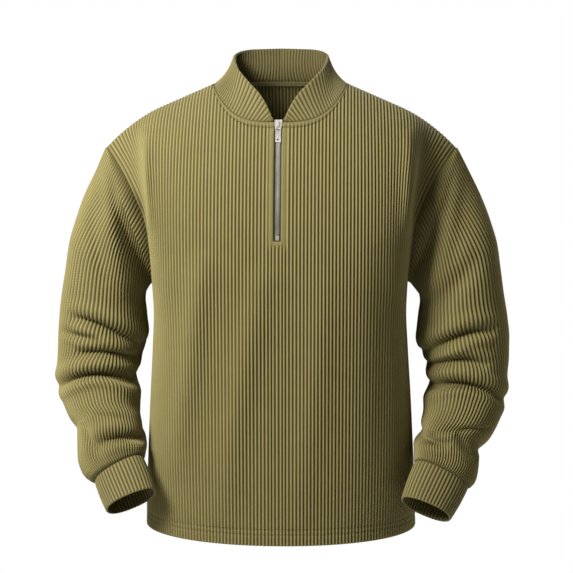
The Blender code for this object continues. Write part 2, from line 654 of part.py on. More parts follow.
def material(name, colour, roughness, metallic=0.0):
    """A Principled material of one colour."""
    made = bpy.data.materials.get(name) or bpy.data.materials.new(name)
    made.use_nodes = True
    shader = made.node_tree.nodes["Principled BSDF"]
    shader.inputs["Base Color"].default_value = colour
    shader.inputs["Roughness"].default_value = roughness
    shader.inputs["Metallic"].default_value = metallic
    made.diffuse_color = colour
    return made


def place(name, data, finish, collection):
    """Puts a mesh in the garment as one named piece."""
    piece = bpy.data.objects.new(name, data)
    data.materials.append(finish)
    data.shade_smooth()
    data.set_sharp_from_angle(angle=math.radians(40))
    collection.objects.link(piece)
    return piece


# ---- Pieces -----------------------------------------------------------------------------------
def rib_levels(count, first_ridge):
    """+1 on a rib, -1 between ribs, for a run of columns."""
    return np.where((np.arange(count) - first_ridge) % 2 == 0, 1.0, -1.0)


def panel_layers(facing):
    """Outer points, inner points and inner columns of the front or back panel."""
    half, half_normals = half_panel(panel_shares(FIRST_COLUMNS[facing]), facing)
    half_normals[LOW_ROWS:, -1] = armhole_edge(facing)[1]
    along_neck = half[-1, :, 0] <= NECK_HALF_WIDTH + 1e-6
    seam_points, seam_normals = neck_seam()
    for column in np.flatnonzero(along_neck):
        nearest = np.argmin(np.linalg.norm(seam_points - half[-1, column], axis=1))
        half_normals[-1, column] = seam_normals[nearest]
    grid, normals = whole_panel(half, half_normals)
    rows, columns = grid.shape[:2]

    levels = np.zeros((rows, columns))
    middle = columns // 2
    ribbed = rib_levels(columns - middle, 1 if facing < 0 else 0)
    levels[:, middle:] = ribbed
    levels[:, :columns - middle] = ribbed[::-1]
    levels[:, [0, -1]] = 0
    if facing < 0:
        slit_rows = slice(LOW_ROWS + SLIT_ROW, None)
        levels[slit_rows, middle - 2:middle + 2] = 0
    on_neck = np.abs(grid[-1, :, 0]) < NECK_HALF_WIDTH + 1e-4
    levels[-2, on_neck] = BAND_LIFT
    levels[-1] = 0
    outer = grid + normals * (levels * RIB_HEIGHT)[..., None]
    inner = grid - normals * CLOTH

    half_keep = inner_columns(panel_shares(FIRST_COLUMNS[facing]))
    keep = [half.shape[1] - 1 - column for column in reversed(half_keep)]
    keep += [columns - half.shape[1] + column for column in half_keep if facing < 0 or column > 0]
    return outer, inner, normals, keep


def inner_columns(shares):
    """The columns of half a panel that its plain inner side keeps: close where it bends most."""
    keep = [0]
    for column, share in enumerate(shares):
        if column - keep[-1] >= np.interp(share, INNER_SHARE, INNER_STEP) or column < FIRST_KEPT:
            keep.append(column)
    if keep[-1] < len(shares) - 1:
        keep.append(len(shares) - 1)
    return sorted(set(keep))


def armhole_edge(facing):
    """The armhole's points and outward directions, midway between panel and sleeve, from below."""
    grid, normals = half_panel(np.linspace(0.94, 1.0, 4), facing)
    panel = normals[LOW_ROWS:, -1]
    rise = np.linspace(0, 1, len(panel))[:, None]
    under = np.array([0.0, 0.0, -1.0])
    sleeve = np.array([0.25, facing * 0.95, 0.1])
    over = np.array([0.75, 0.0, 0.66])
    low, high = ease(0, 0.35, rise), ease(0.7, 1, rise)
    beside = unit(under * (1 - low) + sleeve * low * (1 - high) + over * high)
    seam = unit(panel + beside)
    seam[0] = unit(np.array([0.56, 0.0, -0.83]))
    seam[-1] = unit(np.array([0.62, 0.0, 0.78]))
    return grid[LOW_ROWS:, -1], seam


def make_panel(name, facing, finish, collection):
    """The front or the back, with the zip's slit in the front."""
    outer, inner, _, keep = panel_layers(facing)
    skip = None
    if facing < 0:
        centre = keep.index(outer.shape[1] // 2 - 1)
        skip = [(row, centre) for row in range(LOW_ROWS + SLIT_ROW, LOW_ROWS + UP_ROWS)]
    data = wall_mesh(name, outer, inner, keep, skip=skip)
    return place(name, data, finish, collection)


def seam_ring():
    """The armhole's points and outward directions as one loop from the tip, front side first."""
    front, front_out = armhole_edge(-1)
    back, back_out = armhole_edge(1)
    points = np.concatenate([resample_between(front[::-1])[:-1], resample_between(back)[:-1]])
    normals = np.concatenate([resample_between(front_out[::-1])[:-1], resample_between(back_out)[:-1]])
    return points, unit(normals)


def make_sleeve(name, side, table, folds, finish, collection):
    """One sleeve; side is +1 for the wearer's left."""
    edge, edge_normals = seam_ring()
    along = unit(np.roll(edge, -1, axis=0) - np.roll(edge, 1, axis=0))
    outwards = unit(np.cross(edge_normals, along))
    if outwards[0] @ np.array([1.0, 0.0, -0.3]) < 0:
        outwards = -outwards
    half = len(edge) // 2
    base = edge.copy()
    base[0, 1] = 0.0
    base[half, 1] = SIDE_SEAM_Y
    grid = sleeve_grid(table, folds, base + outwards * SEAM_GAP)
    normals = grid_normals(grid, (1, 0, 0), closed=True)
    normals[0] = edge_normals
    normals[-1] = unit(grid[-1] - ring_frame(table[-1, 1:])[0])
    levels = rib_levels(grid.shape[1], 1)[None, :].repeat(len(grid), 0)
    levels[[0, -1]] = 0
    outer = grid + normals * (levels * RIB_HEIGHT)[..., None]
    inner = grid - normals * CLOTH
    keep = [0]
    for column in range(1, grid.shape[1]):
        share = column / grid.shape[1]
        if column % SLEEVE_STEPS_A_ROW == 0 or TIGHT_BEND[0] < share < TIGHT_BEND[1]:
            keep.append(column)
    data = wall_mesh(name, outer * [side, 1, 1], inner * [side, 1, 1], keep, closed=True)
    return place(name, data, finish, collection)


def make_cuff(name, side, table, end, finish, collection):
    """The ribbed cuff that carries on from the sleeve's last ring."""
    start_row = table[-1, 1:]
    count = 2 * CUFF_RIBS
    rings = []
    for part in np.linspace(0, 1, CUFF_ROWS + 1):
        rings.append(ellipse_ring(start_row * (1 - part) + end * part, count))
    grid = np.array(rings)
    axis = unit(ring_frame(end)[0] - ring_frame(start_row)[0])
    grid[0] += axis * SEAM_GAP
    middles = np.array([ring.mean(axis=0) for ring in grid])
    normals = unit(grid - middles[:, None])
    levels = rib_levels(count, 1)[None, :].repeat(len(grid), 0)
    levels[0] = 0
    outer = grid + normals * (levels * RIB_HEIGHT)[..., None]
    inner = grid - normals * CUFF_CLOTH
    data = wall_mesh(name, outer * [side, 1, 1], inner * [side, 1, 1],
                     list(range(0, count, 4)), closed=True)
    return place(name, data, finish, collection)


def neck_seam():
    """The neckline from the zip round one side to the centre back: points, and outward
    directions midway between body and collar."""
    points, outs = [], []
    for facing in (-1, 1):
        grid, normals = half_panel(panel_shares(FIRST_COLUMNS[facing]), facing)
        along_neck = grid[-1, :, 0] <= NECK_HALF_WIDTH + 1e-6
        points.append(grid[-1, along_neck])
        outs.append(normals[-1, along_neck])
    points[0][0] += (points[0][1] - points[0][0]) * (COLLAR_START_X - SLIT_HALF) / (BAND_OUTER - SLIT_HALF)
    points = np.concatenate([points[0], points[1][::-1]])
    body = np.concatenate([outs[0], outs[1][::-1]])
    along = lengths_along(points) / lengths_along(points)[-1]
    rise = unit(smooth_rows(COLLAR_EDGE, along)[:, 1:] - points)
    collar = unit(np.cross(unit(np.gradient(points, axis=0)), rise))
    collar *= np.sign(np.sum(collar * points * [1, 1, 0], axis=1))[:, None]
    collar[:2] = collar[2]
    return points, unit(body + collar)


def make_collar(finish, collection):
    """The stand collar: it tapers to nothing at the foot of the V."""
    columns = 2 * COLLAR_RIBS + 1
    shares = np.linspace(0, 1, COLLAR_RIBS + 1)
    seam = resample(np.concatenate(neck_seam(), axis=1), shares)
    base, base_normals = seam[:, :3], unit(seam[:, 3:])
    base[-1, 0] = 0
    edge = smooth_rows(COLLAR_EDGE, shares)[:, 1:]
    inward = unit(-base * [1, 1, 0])
    up = np.linspace(0, 1, COLLAR_ROWS + 1)
    rows = []
    for part in up:
        tuck = COLLAR_TUCK * np.sin(math.pi * part ** 0.7) * ease(0.05, 0.5, shares)
        rows.append(base + (edge - base) * part + inward * tuck[:, None])
    half = np.array(rows)
    away = unit(np.cross(np.gradient(base, axis=0), base_normals))
    half[0] += away * np.sign(np.sum(away * (half[1] - half[0]), axis=1))[:, None] * SEAM_GAP
    grid = np.concatenate([half[:, :-1] * [-1, 1, 1], half[:, ::-1]], axis=1)
    normals = grid_normals(grid, (0, 1, 0))
    base_normals[-1, 0] = 0
    normals[0] = np.concatenate([base_normals[:-1] * [-1, 1, 1], base_normals[::-1]])
    levels = rib_levels(columns, 0)[None, :].repeat(len(grid), 0)
    levels[0] = 0
    outer = grid + normals * (levels * RIB_HEIGHT)[..., None]
    cloth = COLLAR_CLOTH + (COLLAR_FOLD - COLLAR_CLOTH) * ease(0, 0.6, up)
    inner = grid - normals * cloth[:, None, None]
    keep = list(range(0, columns, COLLAR_INNER_STEP))
    data = wall_mesh("collar", outer, inner, keep)
    return place("collar", data, finish, collection)


# ---- Tape and zip -----------------------------------------------------------------------------
def make_neck_tape(finish, collection):
    """The tape that covers the neck seam inside the back."""
    _, inner, normals, keep = panel_layers(1)
    reach = NECK_HALF_WIDTH - TAPE_END_INSET
    places = [column for column in keep if abs(inner[-1, column, 0]) < reach]
    places = places[::-1]
    near = inner[-2:, places] - normals[-2:, places] * TAPE_GAP
    far = inner[-2:, places] - normals[-2:, places] * (TAPE_GAP + TAPE_THICK)
    data = wall_mesh("neck_tape", near, far, list(range(len(places))))
    return place("neck_tape", data, finish, collection)


def zip_spine():
    """The front's centre line beside the slit: points and outward directions, from below."""
    grid, normals = half_panel(np.array([SLIT_HALF, 1.5 * SLIT_HALF, BAND_OUTER]) / HALF_PANEL, -1)
    line, out = grid[LOW_ROWS:, 0].copy(), normals[LOW_ROWS:, 0].copy()
    line[:, 0] = 0
    out[:, 0] = 0
    return line, unit(out)


def on_spine(height):
    """Point, outward direction and upward direction on the zip's centre line at one height."""
    line, out = zip_spine()
    index = int(np.clip(np.searchsorted(line[:, 2], height) - 1, 0, len(line) - 2))
    part = (height - line[index, 2]) / (line[index + 1, 2] - line[index, 2])
    point = line[index] + part * (line[index + 1] - line[index])
    outward = unit(out[index] + part * (out[index + 1] - out[index]))
    upward = unit(np.cross([1.0, 0.0, 0.0], -outward))
    return point, outward, upward if upward[2] > 0 else -upward


def make_strip(name, left, right, foot, top, lift, thick, finish, collection):
    """A flat strip along the zip's centre line, 'lift' above the front's middle surface."""
    rows = zip_spine()[0][:, 2]
    heights = np.concatenate([[foot], rows[(rows > foot + 0.002) & (rows < top - 0.002)], [top]])
    outer, inner = [], []
    for height in heights:
        point, outward, _ = on_spine(height)
        sides = np.array([[left, 0, 0], [right, 0, 0]])
        outer.append(point + outward * lift + sides)
        inner.append(point + outward * (lift - thick) + sides)
    data = wall_mesh(name, np.array(outer), np.array(inner), [0, 1])
    return place(name, data, finish, collection)


def slider_frame():
    """Matrix rows that carry slider sizes (across, up, outward) to the garment."""
    point, outward, upward = on_spine(SLIDER_Z)
    return point, np.array([[1.0, 0.0, 0.0], upward, outward])


def extruded_profile(name, profile, half_widths, origin, axes):
    """A closed profile in (up, outward), drawn across to a half width at each of its points."""
    mesh = bmesh.new()
    sides = []
    for sign in (-1, 1):
        ring = []
        for (up, out), half in zip(profile, half_widths):
            ring.append(mesh.verts.new(origin + np.array([sign * half, up, out]) @ axes))
        sides.append(ring)
    mesh.faces.new(sides[0])
    mesh.faces.new(list(reversed(sides[1])))
    for index in range(len(profile)):
        after = (index + 1) % len(profile)
        mesh.faces.new((sides[0][after], sides[0][index], sides[1][index], sides[1][after]))
    bmesh.ops.recalc_face_normals(mesh, faces=mesh.faces)
    bmesh.ops.triangulate(mesh, faces=mesh.faces)
    data = bpy.data.meshes.new(name)
    mesh.to_mesh(data)
    mesh.free()
    return data


def make_slider(finish, collection, helpers):
    """Slider: two plates joined above the chain's end, and a bridge for the pull tab."""
    origin, axes = slider_frame()
    half = SLIDER_LENGTH / 2
    under = ZIP_FRONT + PLATE_LIFT
    face = under + PLATE_THICK
    plate = [(-half, under), (-half, face), (half, face), (half, under)]
    widths = [SLIDER_HALF_FOOT, SLIDER_HALF_FOOT, SLIDER_HALF_TOP, SLIDER_HALF_TOP]
    data = extruded_profile("zip_slider", plate, widths, origin, axes)
    slider = place("zip_slider", data, finish, collection)

    joined = under + PLATE_SINK
    back = ZIP_FRONT - ZIP_THICK - BACK_LIFT
    end = half - SEAM_GAP
    clamp = [(end - WEDGE_LENGTH, joined), (end, joined), (end, back - PLATE_THICK),
             (-half, back - PLATE_THICK), (-half, back), (end - WEDGE_LENGTH, back)]
    inside = face + BRIDGE_CLEAR
    crown = inside + BRIDGE_BAR
    foot = face - PLATE_SINK
    inner_reach = BRIDGE_REACH - BRIDGE_BAR
    bridge = [(-BRIDGE_REACH, foot), (-BRIDGE_REACH, inside), (-inner_reach, crown),
              (inner_reach, crown), (BRIDGE_REACH, inside), (BRIDGE_REACH, foot),
              (inner_reach, foot), (inner_reach, inside), (-inner_reach, inside), (-inner_reach, foot)]
    for name, profile, half_width in (("clamp", clamp, CLAMP_HALF), ("bridge", bridge, BRIDGE_HALF)):
        data = extruded_profile(name, profile, [half_width] * len(profile), origin, axes)
        form = bpy.data.objects.new(name + "_form", data)
        helpers.objects.link(form)
        form.hide_render = True
        form.display_type = "WIRE"
        join = slider.modifiers.new(name, "BOOLEAN")
        join.operation = "UNION"
        join.object = form
    return slider


def make_pull_tab(finish, collection):
    """Pull tab: its bar hangs low in the bridge, with an eye round the bridge and a slot below."""
    origin, axes = slider_frame()
    hinge = ZIP_FRONT + PLATE_LIFT + PLATE_THICK + BRIDGE_CLEAR / 2
    pivot = origin + axes[2] * hinge - axes[1] * TAB_DROP
    across = np.array([-TAB_HALF, -TAB_EYE_HALF, -TAB_SLOT_HALF, TAB_SLOT_HALF, TAB_EYE_HALF, TAB_HALF])
    down = np.array([-TAB_BAR, TAB_BAR, TAB_EYE_FOOT, TAB_SLOT_TOP, TAB_SLOT_FOOT, TAB_LENGTH])
    grid = np.array([[[x, -y, 0.0] for x in across] for y in down])
    outer = (grid + [0, 0, TAB_THICK / 2]) @ axes
    inner = (grid - [0, 0, TAB_THICK / 2]) @ axes
    eye = [(1, 1), (1, 2), (1, 3)]
    slot = [(3, 2)]
    data = wall_mesh("pull_tab", outer, inner, list(range(len(across))), skip=eye + slot)
    tab = place("pull_tab", data, finish, collection)
    tab.location = pivot
    return tab


def clear_scene():
    for thing in list(bpy.data.objects):
        bpy.data.objects.remove(thing)


def main():
    clear_scene()
    garment = bpy.data.collections.new("quarter_zip_pullover")
    helpers = bpy.data.collections.new("joined_forms")
    bpy.context.scene.collection.children.link(garment)
    bpy.context.scene.collection.children.link(helpers)
    knit = material("rib_knit", KNIT_COLOUR, 0.9)
    trim = material("trim_rib", RIB_COLOUR, 0.9)
    tape = material("zip_tape", TAPE_COLOUR, 0.85)
    metal = material("zip_metal", METAL_COLOUR, 0.3, metallic=1.0)
    make_panel("front", -1, knit, garment)
    make_panel("back", 1, knit, garment)
    make_sleeve("sleeve_right", -1, SLEEVE_RIGHT, FOLDS_RIGHT, knit, garment)
    make_sleeve("sleeve_left", 1, SLEEVE_LEFT, FOLDS_LEFT, knit, garment)
    make_cuff("cuff_right", -1, SLEEVE_RIGHT, CUFF_END_RIGHT, trim, garment)
    make_cuff("cuff_left", 1, SLEEVE_LEFT, CUFF_END_LEFT, trim, garment)
    make_collar(trim, garment)
    make_neck_tape(tape, garment)
    tape_lift = -CLOTH - TAPE_GAP
    near = ZIP_HALF + SEAM_GAP
    make_strip("zip_tape_right", -TAPE_OUTER_X, -near, TAPE_FOOT_Z, TAPE_TOP_Z,
               tape_lift, TAPE_THICK, tape, garment)
    make_strip("zip_tape_left", near, TAPE_OUTER_X, TAPE_FOOT_Z, TAPE_TOP_Z,
               tape_lift, TAPE_THICK, tape, garment)
    make_strip("zip_chain", -ZIP_HALF, ZIP_HALF, ZIP_END_Z, ZIP_TOP_Z,
               ZIP_FRONT, ZIP_THICK, metal, garment)
    make_strip("zip_stop", -STOP_HALF, STOP_HALF, STOP_FOOT_Z, STOP_TOP_Z,
               ZIP_FRONT + SEAM_GAP, ZIP_THICK + 2 * SEAM_GAP, metal, garment)
    make_slider(metal, garment, helpers)
    make_pull_tab(metal, garment)


main()
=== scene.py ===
"""Looks of a quarter-zip pullover in a heavy ribbed knit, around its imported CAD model.

Metres, +Z up, the wearer faces -Y and the wearer's left is +X, as in the model. The cloth pieces
are built again here from the model's own sizes, as fine walls with every rib of the knit, the
seams, the turned hem, the bands beside the zip and the sewing.
"""

import math

import bpy
import numpy as np
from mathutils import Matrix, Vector


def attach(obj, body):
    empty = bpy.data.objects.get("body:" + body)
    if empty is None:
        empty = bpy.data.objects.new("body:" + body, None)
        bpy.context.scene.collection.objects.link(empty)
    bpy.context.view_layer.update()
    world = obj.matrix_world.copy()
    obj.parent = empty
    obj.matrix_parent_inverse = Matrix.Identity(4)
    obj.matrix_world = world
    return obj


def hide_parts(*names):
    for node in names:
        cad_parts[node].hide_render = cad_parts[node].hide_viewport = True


# ---- Driving sizes ----------------------------------------------------------------------------
SEAM_GAP = 0.0003
CLOTH = 0.0024
HALF_PANEL = 0.290

NECK_HALF_WIDTH = 0.106
NECK_SIDE_Z = 0.0115
NECK_FRONT_Z = -0.0466
NECK_BACK_Z = 0.0160
NECK_FRONT_POWER = 3.5
NECK_BACK_POWER = 3.0
CREST_Z = 0.028

TIP_X = 0.2765
SHOULDER_SLOPE = 0.435
SHOULDER_BEND = 3.2
BEND_FROM_X = 0.188

UNDERARM_Z = -0.300
SIDE_SEAM_Y = -0.006

SLIT_HALF = 0.0058
SLIT_BOTTOM_Z = -0.2245
BAND_OUTER = 0.0130
EVEN_FROM = 0.50

ZIP_FRONT = -0.0008
ZIP_THICK = 0.0026
ZIP_TOP_Z = -0.0500
ZIP_END_Z = -0.2150
STOP_TOP_Z = -0.2153
STOP_FOOT_Z = -0.2232
STOP_HALF = 0.0030

SLIDER_Z = -0.0510
SLIDER_LENGTH = 0.0155
SLIDER_HALF_TOP = 0.0062
SLIDER_HALF_FOOT = 0.0051
PLATE_THICK = 0.0014
PLATE_LIFT = 0.0011
BACK_LIFT = 0.0007
CLAMP_HALF = 0.0052
WEDGE_LENGTH = 0.0040
BRIDGE_HALF = 0.0012
BRIDGE_REACH = 0.0050
BRIDGE_CLEAR = 0.0020
BRIDGE_BAR = 0.0014

TAB_HALF = 0.0044
TAB_LENGTH = 0.0258
TAB_DROP = 0.0028
TAB_THICK = 0.0011
TAB_BAR = 0.0006
TAB_EYE_HALF = 0.0026
TAB_EYE_FOOT = 0.0068
TAB_SLOT_HALF = 0.0022
TAB_SLOT_TOP = 0.0205
TAB_SLOT_FOOT = 0.0232

# Level rings of the body from the hem to the underarm.
# Columns: height, half_width, fold_y, front_depth, back_depth, squareness.
TORSO = np.array([
    [-0.6940, 0.2160, -0.006, 0.1500, 0.1220, 2.06],
    [-0.6400, 0.2145, -0.006, 0.1500, 0.1190, 2.20],
    [-0.5600, 0.2105, -0.008, 0.1505, 0.1160, 2.40],
    [-0.4800, 0.2060, -0.012, 0.1510, 0.1150, 2.50],
    [-0.4000, 0.2005, -0.020, 0.1515, 0.1160, 2.65],
    [-0.3400, 0.1972, -0.030, 0.1515, 0.1185, 2.80],
    [-0.3000, 0.1985, -0.038, 0.1510, 0.1200, 2.90],
])

# Sections above the underarm: the chest turns back at the fold beside the arm, and the cloth
# then runs in a trough, "reach" deep, out to the armhole edge.
# Columns: rise, fold_x, fold_y, front_depth, back_depth, squareness, reach.
CHEST = np.array([
    [0.00, 0.1985, -0.038, 0.1510, 0.1200, 2.90, 0.000],
    [0.15, 0.2005, -0.046, 0.1510, 0.1200, 2.95, 0.000],
    [0.35, 0.2035, -0.062, 0.1510, 0.1200, 3.05, 0.000],
    [0.55, 0.2050, -0.078, 0.1510, 0.1200, 3.15, 0.008],
    [0.75, 0.2090, -0.086, 0.1510, 0.1200, 3.10, 0.012],
    [0.90, 0.2200, -0.080, 0.1510, 0.1200, 2.80, 0.004],
    [1.00, 0.2400, -0.070, 0.1510, 0.1200, 2.60, 0.000],
])

# On the back the fold lies nearer the side, but always this far outside the armhole edge.
BACK_FOLD_PART = 0.8
BACK_REACH_PART = 0.4
LEAST_RUN = 0.008
BACK_FOLD_RISE = 0.3
LEAST_RUN_RISE = 0.12
SIDE_SEAM_RISE = 0.02

# How far the trough beside the arm curls back towards the body where it is DEEP_REACH deep. It
# leaves the fold with one part in FOLD_INSET_PARTS of that.
TROUGH_INSET = 0.010
DEEP_REACH = 0.020
FOLD_INSET_PARTS = 5

# The chest's sections lean in to the shoulder along a rounded profile: its power, and the share
# of the depth that is left where the shoulder begins.
EDGE_ROUNDING = 2.5
LEAST_FALL = 0.3
LAST_LEAN = 0.97
CHEST_LEVELS = 20
EDGE_PULL_FROM = 0.70

# The armhole edge from the underarm (rise 0) to the shoulder tip (rise 1).
# Columns: rise, x, front_y, back_y.
ARMHOLE = np.array([
    [0.00, 0.1985, -0.006, -0.006],
    [0.12, 0.2030, -0.022, 0.014],
    [0.28, 0.2065, -0.040, 0.030],
    [0.45, 0.2112, -0.052, 0.043],
    [0.62, 0.2233, -0.057, 0.050],
    [0.80, 0.2442, -0.038, 0.034],
    [0.92, 0.2624, -0.018, 0.016],
    [1.00, TIP_X, 0.000, 0.000],
])

# Roundness of the run from chest to shoulder, across the panel from its centre to its edge.
ROUNDING_SHARE = (0.00, 0.36, 0.60, 0.85, 1.00)
FRONT_ROUNDING = (2.0, 2.0, 2.1, 2.3, 2.5)
BACK_ROUNDING = (2.4, 2.4, 2.3, 2.3, 2.5)

# Sleeve rings from the armhole to the cuff seam: "along" counts the rings, "out" and "in" are
# the outer and inner sides seen from the front, "mid_y" is the ring's middle and "pitch" how far
# its lower end swings forward, in degrees.
# Columns: along, out_x, out_z, in_x, in_z, mid_y, half_depth, pitch.
SLEEVE_RIGHT = np.array([
    [0.0, 0.2765, -0.0880, 0.1985, -0.3000, 0.000, 0.066, 0],
    [1.0, 0.2945, -0.1290, 0.2055, -0.3030, 0.001, 0.069, 0],
    [2.0, 0.3130, -0.1665, 0.2100, -0.3075, 0.002, 0.072, 0],
    [3.0, 0.3268, -0.2045, 0.2148, -0.3135, 0.003, 0.074, 0],
    [4.0, 0.3370, -0.2430, 0.2190, -0.3220, 0.004, 0.075, 0],
    [5.0, 0.3428, -0.2816, 0.2200, -0.3340, 0.004, 0.075, 0],
    [6.0, 0.3495, -0.3200, 0.2180, -0.3530, 0.004, 0.075, 0],
    [7.0, 0.3540, -0.3590, 0.2168, -0.3770, 0.004, 0.074, 2],
    [8.0, 0.3562, -0.3886, 0.2182, -0.3990, 0.004, 0.073, 5],
    [9.0, 0.3575, -0.4200, 0.2240, -0.4190, 0.003, 0.072, 9],
    [10.0, 0.3585, -0.4455, 0.2340, -0.4380, 0.000, 0.071, 13],
    [11.0, 0.3580, -0.4760, 0.2320, -0.4570, -0.007, 0.069, 18],
    [12.0, 0.3465, -0.5010, 0.2262, -0.4790, -0.018, 0.066, 22],
    [13.0, 0.3355, -0.5200, 0.2265, -0.5010, -0.031, 0.063, 25],
    [14.0, 0.3210, -0.5370, 0.2205, -0.5220, -0.044, 0.060, 28],
    [15.0, 0.3190, -0.5560, 0.2130, -0.5400, -0.057, 0.056, 30],
    [16.0, 0.3165, -0.5800, 0.2120, -0.5550, -0.071, 0.050, 32],
    [16.5, 0.3085, -0.5990, 0.2120, -0.5625, -0.079, 0.045, 32],
    [17.0, 0.2890, -0.6110, 0.2130, -0.5700, -0.088, 0.036, 32],
])
SLEEVE_LEFT = np.array([
    [0.0, 0.2765, -0.0880, 0.1985, -0.3000, 0.000, 0.066, 0],
    [1.0, 0.2970, -0.1280, 0.2055, -0.3030, 0.001, 0.069, 0],
    [2.0, 0.3155, -0.1655, 0.2105, -0.3075, 0.002, 0.072, 0],
    [3.0, 0.3305, -0.2030, 0.2160, -0.3135, 0.003, 0.074, 0],
    [4.0, 0.3418, -0.2410, 0.2220, -0.3220, 0.004, 0.075, 0],
    [5.0, 0.3475, -0.2790, 0.2235, -0.3340, 0.004, 0.075, 0],
    [6.0, 0.3530, -0.3170, 0.2210, -0.3530, 0.004, 0.075, 0],
    [7.0, 0.3595, -0.3560, 0.2190, -0.3770, 0.004, 0.074, 2],
    [8.0, 0.3630, -0.3900, 0.2200, -0.3990, 0.004, 0.073, 5],
    [9.0, 0.3628, -0.4220, 0.2290, -0.4190, 0.003, 0.072, 9],
    [10.0, 0.3605, -0.4506, 0.2375, -0.4420, 0.000, 0.071, 13],
    [11.0, 0.3590, -0.4810, 0.2365, -0.4640, -0.007, 0.069, 18],
    [12.0, 0.3545, -0.5020, 0.2300, -0.4860, -0.018, 0.066, 22],
    [13.0, 0.3455, -0.5210, 0.2285, -0.5080, -0.031, 0.063, 25],
    [14.0, 0.3325, -0.5410, 0.2230, -0.5300, -0.044, 0.060, 28],
    [15.0, 0.3135, -0.5600, 0.2145, -0.5460, -0.057, 0.056, 30],
    [16.0, 0.3115, -0.5820, 0.2125, -0.5600, -0.071, 0.050, 32],
    [16.5, 0.3075, -0.6030, 0.2122, -0.5675, -0.079, 0.045, 32],
    [17.0, 0.2950, -0.6150, 0.2125, -0.5750, -0.088, 0.036, 32],
])
BACK_FOLD_DROP = 0.012
BACK_FOLD_DEPTH = 0.7
ARMHOLE_BLEND = 4.0

# The cuff's open end, in the columns of the sleeve tables, for the wearer's right and left.
CUFF_END_RIGHT = np.array([0.2665, -0.6490, 0.1895, -0.6160, -0.121, 0.034, 33])
CUFF_END_LEFT = np.array([0.2660, -0.6565, 0.1905, -0.6260, -0.121, 0.034, 33])
CUFF_CLOTH = 0.0028

# The collar's free edge, from the foot of the V round to the centre back: "share" of the neckline.
# Columns: share, x, y, z.
COLLAR_EDGE = np.array([
    [0.000, 0.0085, -0.0975, -0.0430],
    [0.042, 0.0106, -0.0951, -0.0379],
    [0.090, 0.0176, -0.0872, -0.0220],
    [0.150, 0.0303, -0.0754, -0.0024],
    [0.210, 0.0468, -0.0617, 0.0142],
    [0.305, 0.0680, -0.0272, 0.0378],
    [0.400, 0.0738, -0.0010, 0.0514],
    [0.500, 0.0740, 0.0078, 0.0552],
    [0.600, 0.0734, 0.0156, 0.0583],
    [0.700, 0.0679, 0.0267, 0.0620],
    [0.800, 0.0492, 0.0400, 0.0652],
    [0.900, 0.0255, 0.0454, 0.0659],
    [1.000, 0.0000, 0.0500, 0.0665],
])
COLLAR_START_X = 0.0085
COLLAR_CLOTH = 0.0030
COLLAR_FOLD = 0.0045
COLLAR_TUCK = 0.007

# ---- Sizes of the fine cloth ------------------------------------------------------------------
# How many places are read on a section's curve, on its run to the edge, up a dense column and
# round a sleeve ring, and how square such a ring is.
FOLD_PLACES = 160
RUN_PLACES = 50
COLUMN_PLACES = 81
RING_PLACES = 361
RING_SQUARENESS = 2.3

# A half panel has whole columns up to the neck's side point, and a rib is four columns wide.
NECK_COLUMN = 78
RIB_COLUMNS = 4
RIB_STEP = NECK_HALF_WIDTH / NECK_COLUMN
HALF_COLUMNS = int(HALF_PANEL / RIB_STEP)
SLIT_COLUMN = 4
BAND_COLUMN = 10
EVEN_COLUMN = 24
RIB_RISE = 0.0015
RIB_BREADTH = 0.15
INNER_RIB = 0.0005
FRONT_INNER_RIBS = 0.6

# Painted shade: how dark a groove is painted where the ribs are flattened, what full ribs add to
# that, and what a seam adds.
FLAT_SHADE = 0.8
RIBBED_SHADE = 0.2
SEAM_SHADE = 0.35

# A distance that no edge or seam reaches.
FAR = 1.0

HEM_FOOT_Z = TORSO[0, 0]
HEM_ROWS = (0.0, 0.0003, 0.0008, 0.0016, 0.003, 0.007, 0.012, 0.0152, 0.0161, 0.017, 0.0179, 0.0188,
            0.0205, 0.0232, 0.0241, 0.025, 0.0259, 0.0268, 0.031)
HEM_LINES = (0.017, 0.025)
HEM_LINE_WIDTH = 0.0011
HEM_GROOVE = 0.0007
HEM_ROUND = 0.0016
HEM_RIBS = 0.4
PLAIN_ROWS = 44
UNDERARM_ROW = len(HEM_ROWS) + PLAIN_ROWS - 1

SLIT_ROWS = 16
CHEST_ROWS = 34
BAND_DISTANCES = (0.0108, 0.0100, 0.0092, 0.0084, 0.0050, 0.0020, 0.0008, 0.0)
BAND_WIDE = 0.0086
BAND_FADE = 0.0008
BAND_LINE = 0.0006
BAND_LINE_WIDTH = 0.0008
BAND_RAISE = 0.0009
BAND_GROOVE = 0.0011
# Painted shade along the line under the neck band.
BAND_SHADE = 0.4
BAND_RIBS = 0.25
NECK_ROWS_END = 0.38
SHOULDER_ROWS_START = 0.62
CORNER_POWER = 1.5
DRAW_POWER = 5

SHOULDER_FLAT = 0.65
SHOULDER_REACH = 0.045
DRAPE_MARGIN = 0.03

# The plain bands beside the slit and the sewn box at its foot. The pairs say how far below the
# slit a form begins and where it is full.
PLACKET_RAISE = 0.0004
PLACKET_GROOVE = 0.0009
PLACKET_FOOT = (0.0095, 0.0085)
GROOVE_FOOT = (0.0105, 0.0090)
BOX_FOOT = 0.0100
BOX_FOOT_WIDTH = 0.0010
BOX_LINE = 0.0022
BOX_LINE_WIDTH = 0.0008
BOX_LINE_SINK = 0.0004
SLIT_EDGE_SINK = 0.0007

NECK_TURN = 0.009
ARM_TURN_COLUMNS = 8
SEAM_ROUND = 0.0014
SEAM_SINK = 0.0007
LEAST_RIM = 0.06

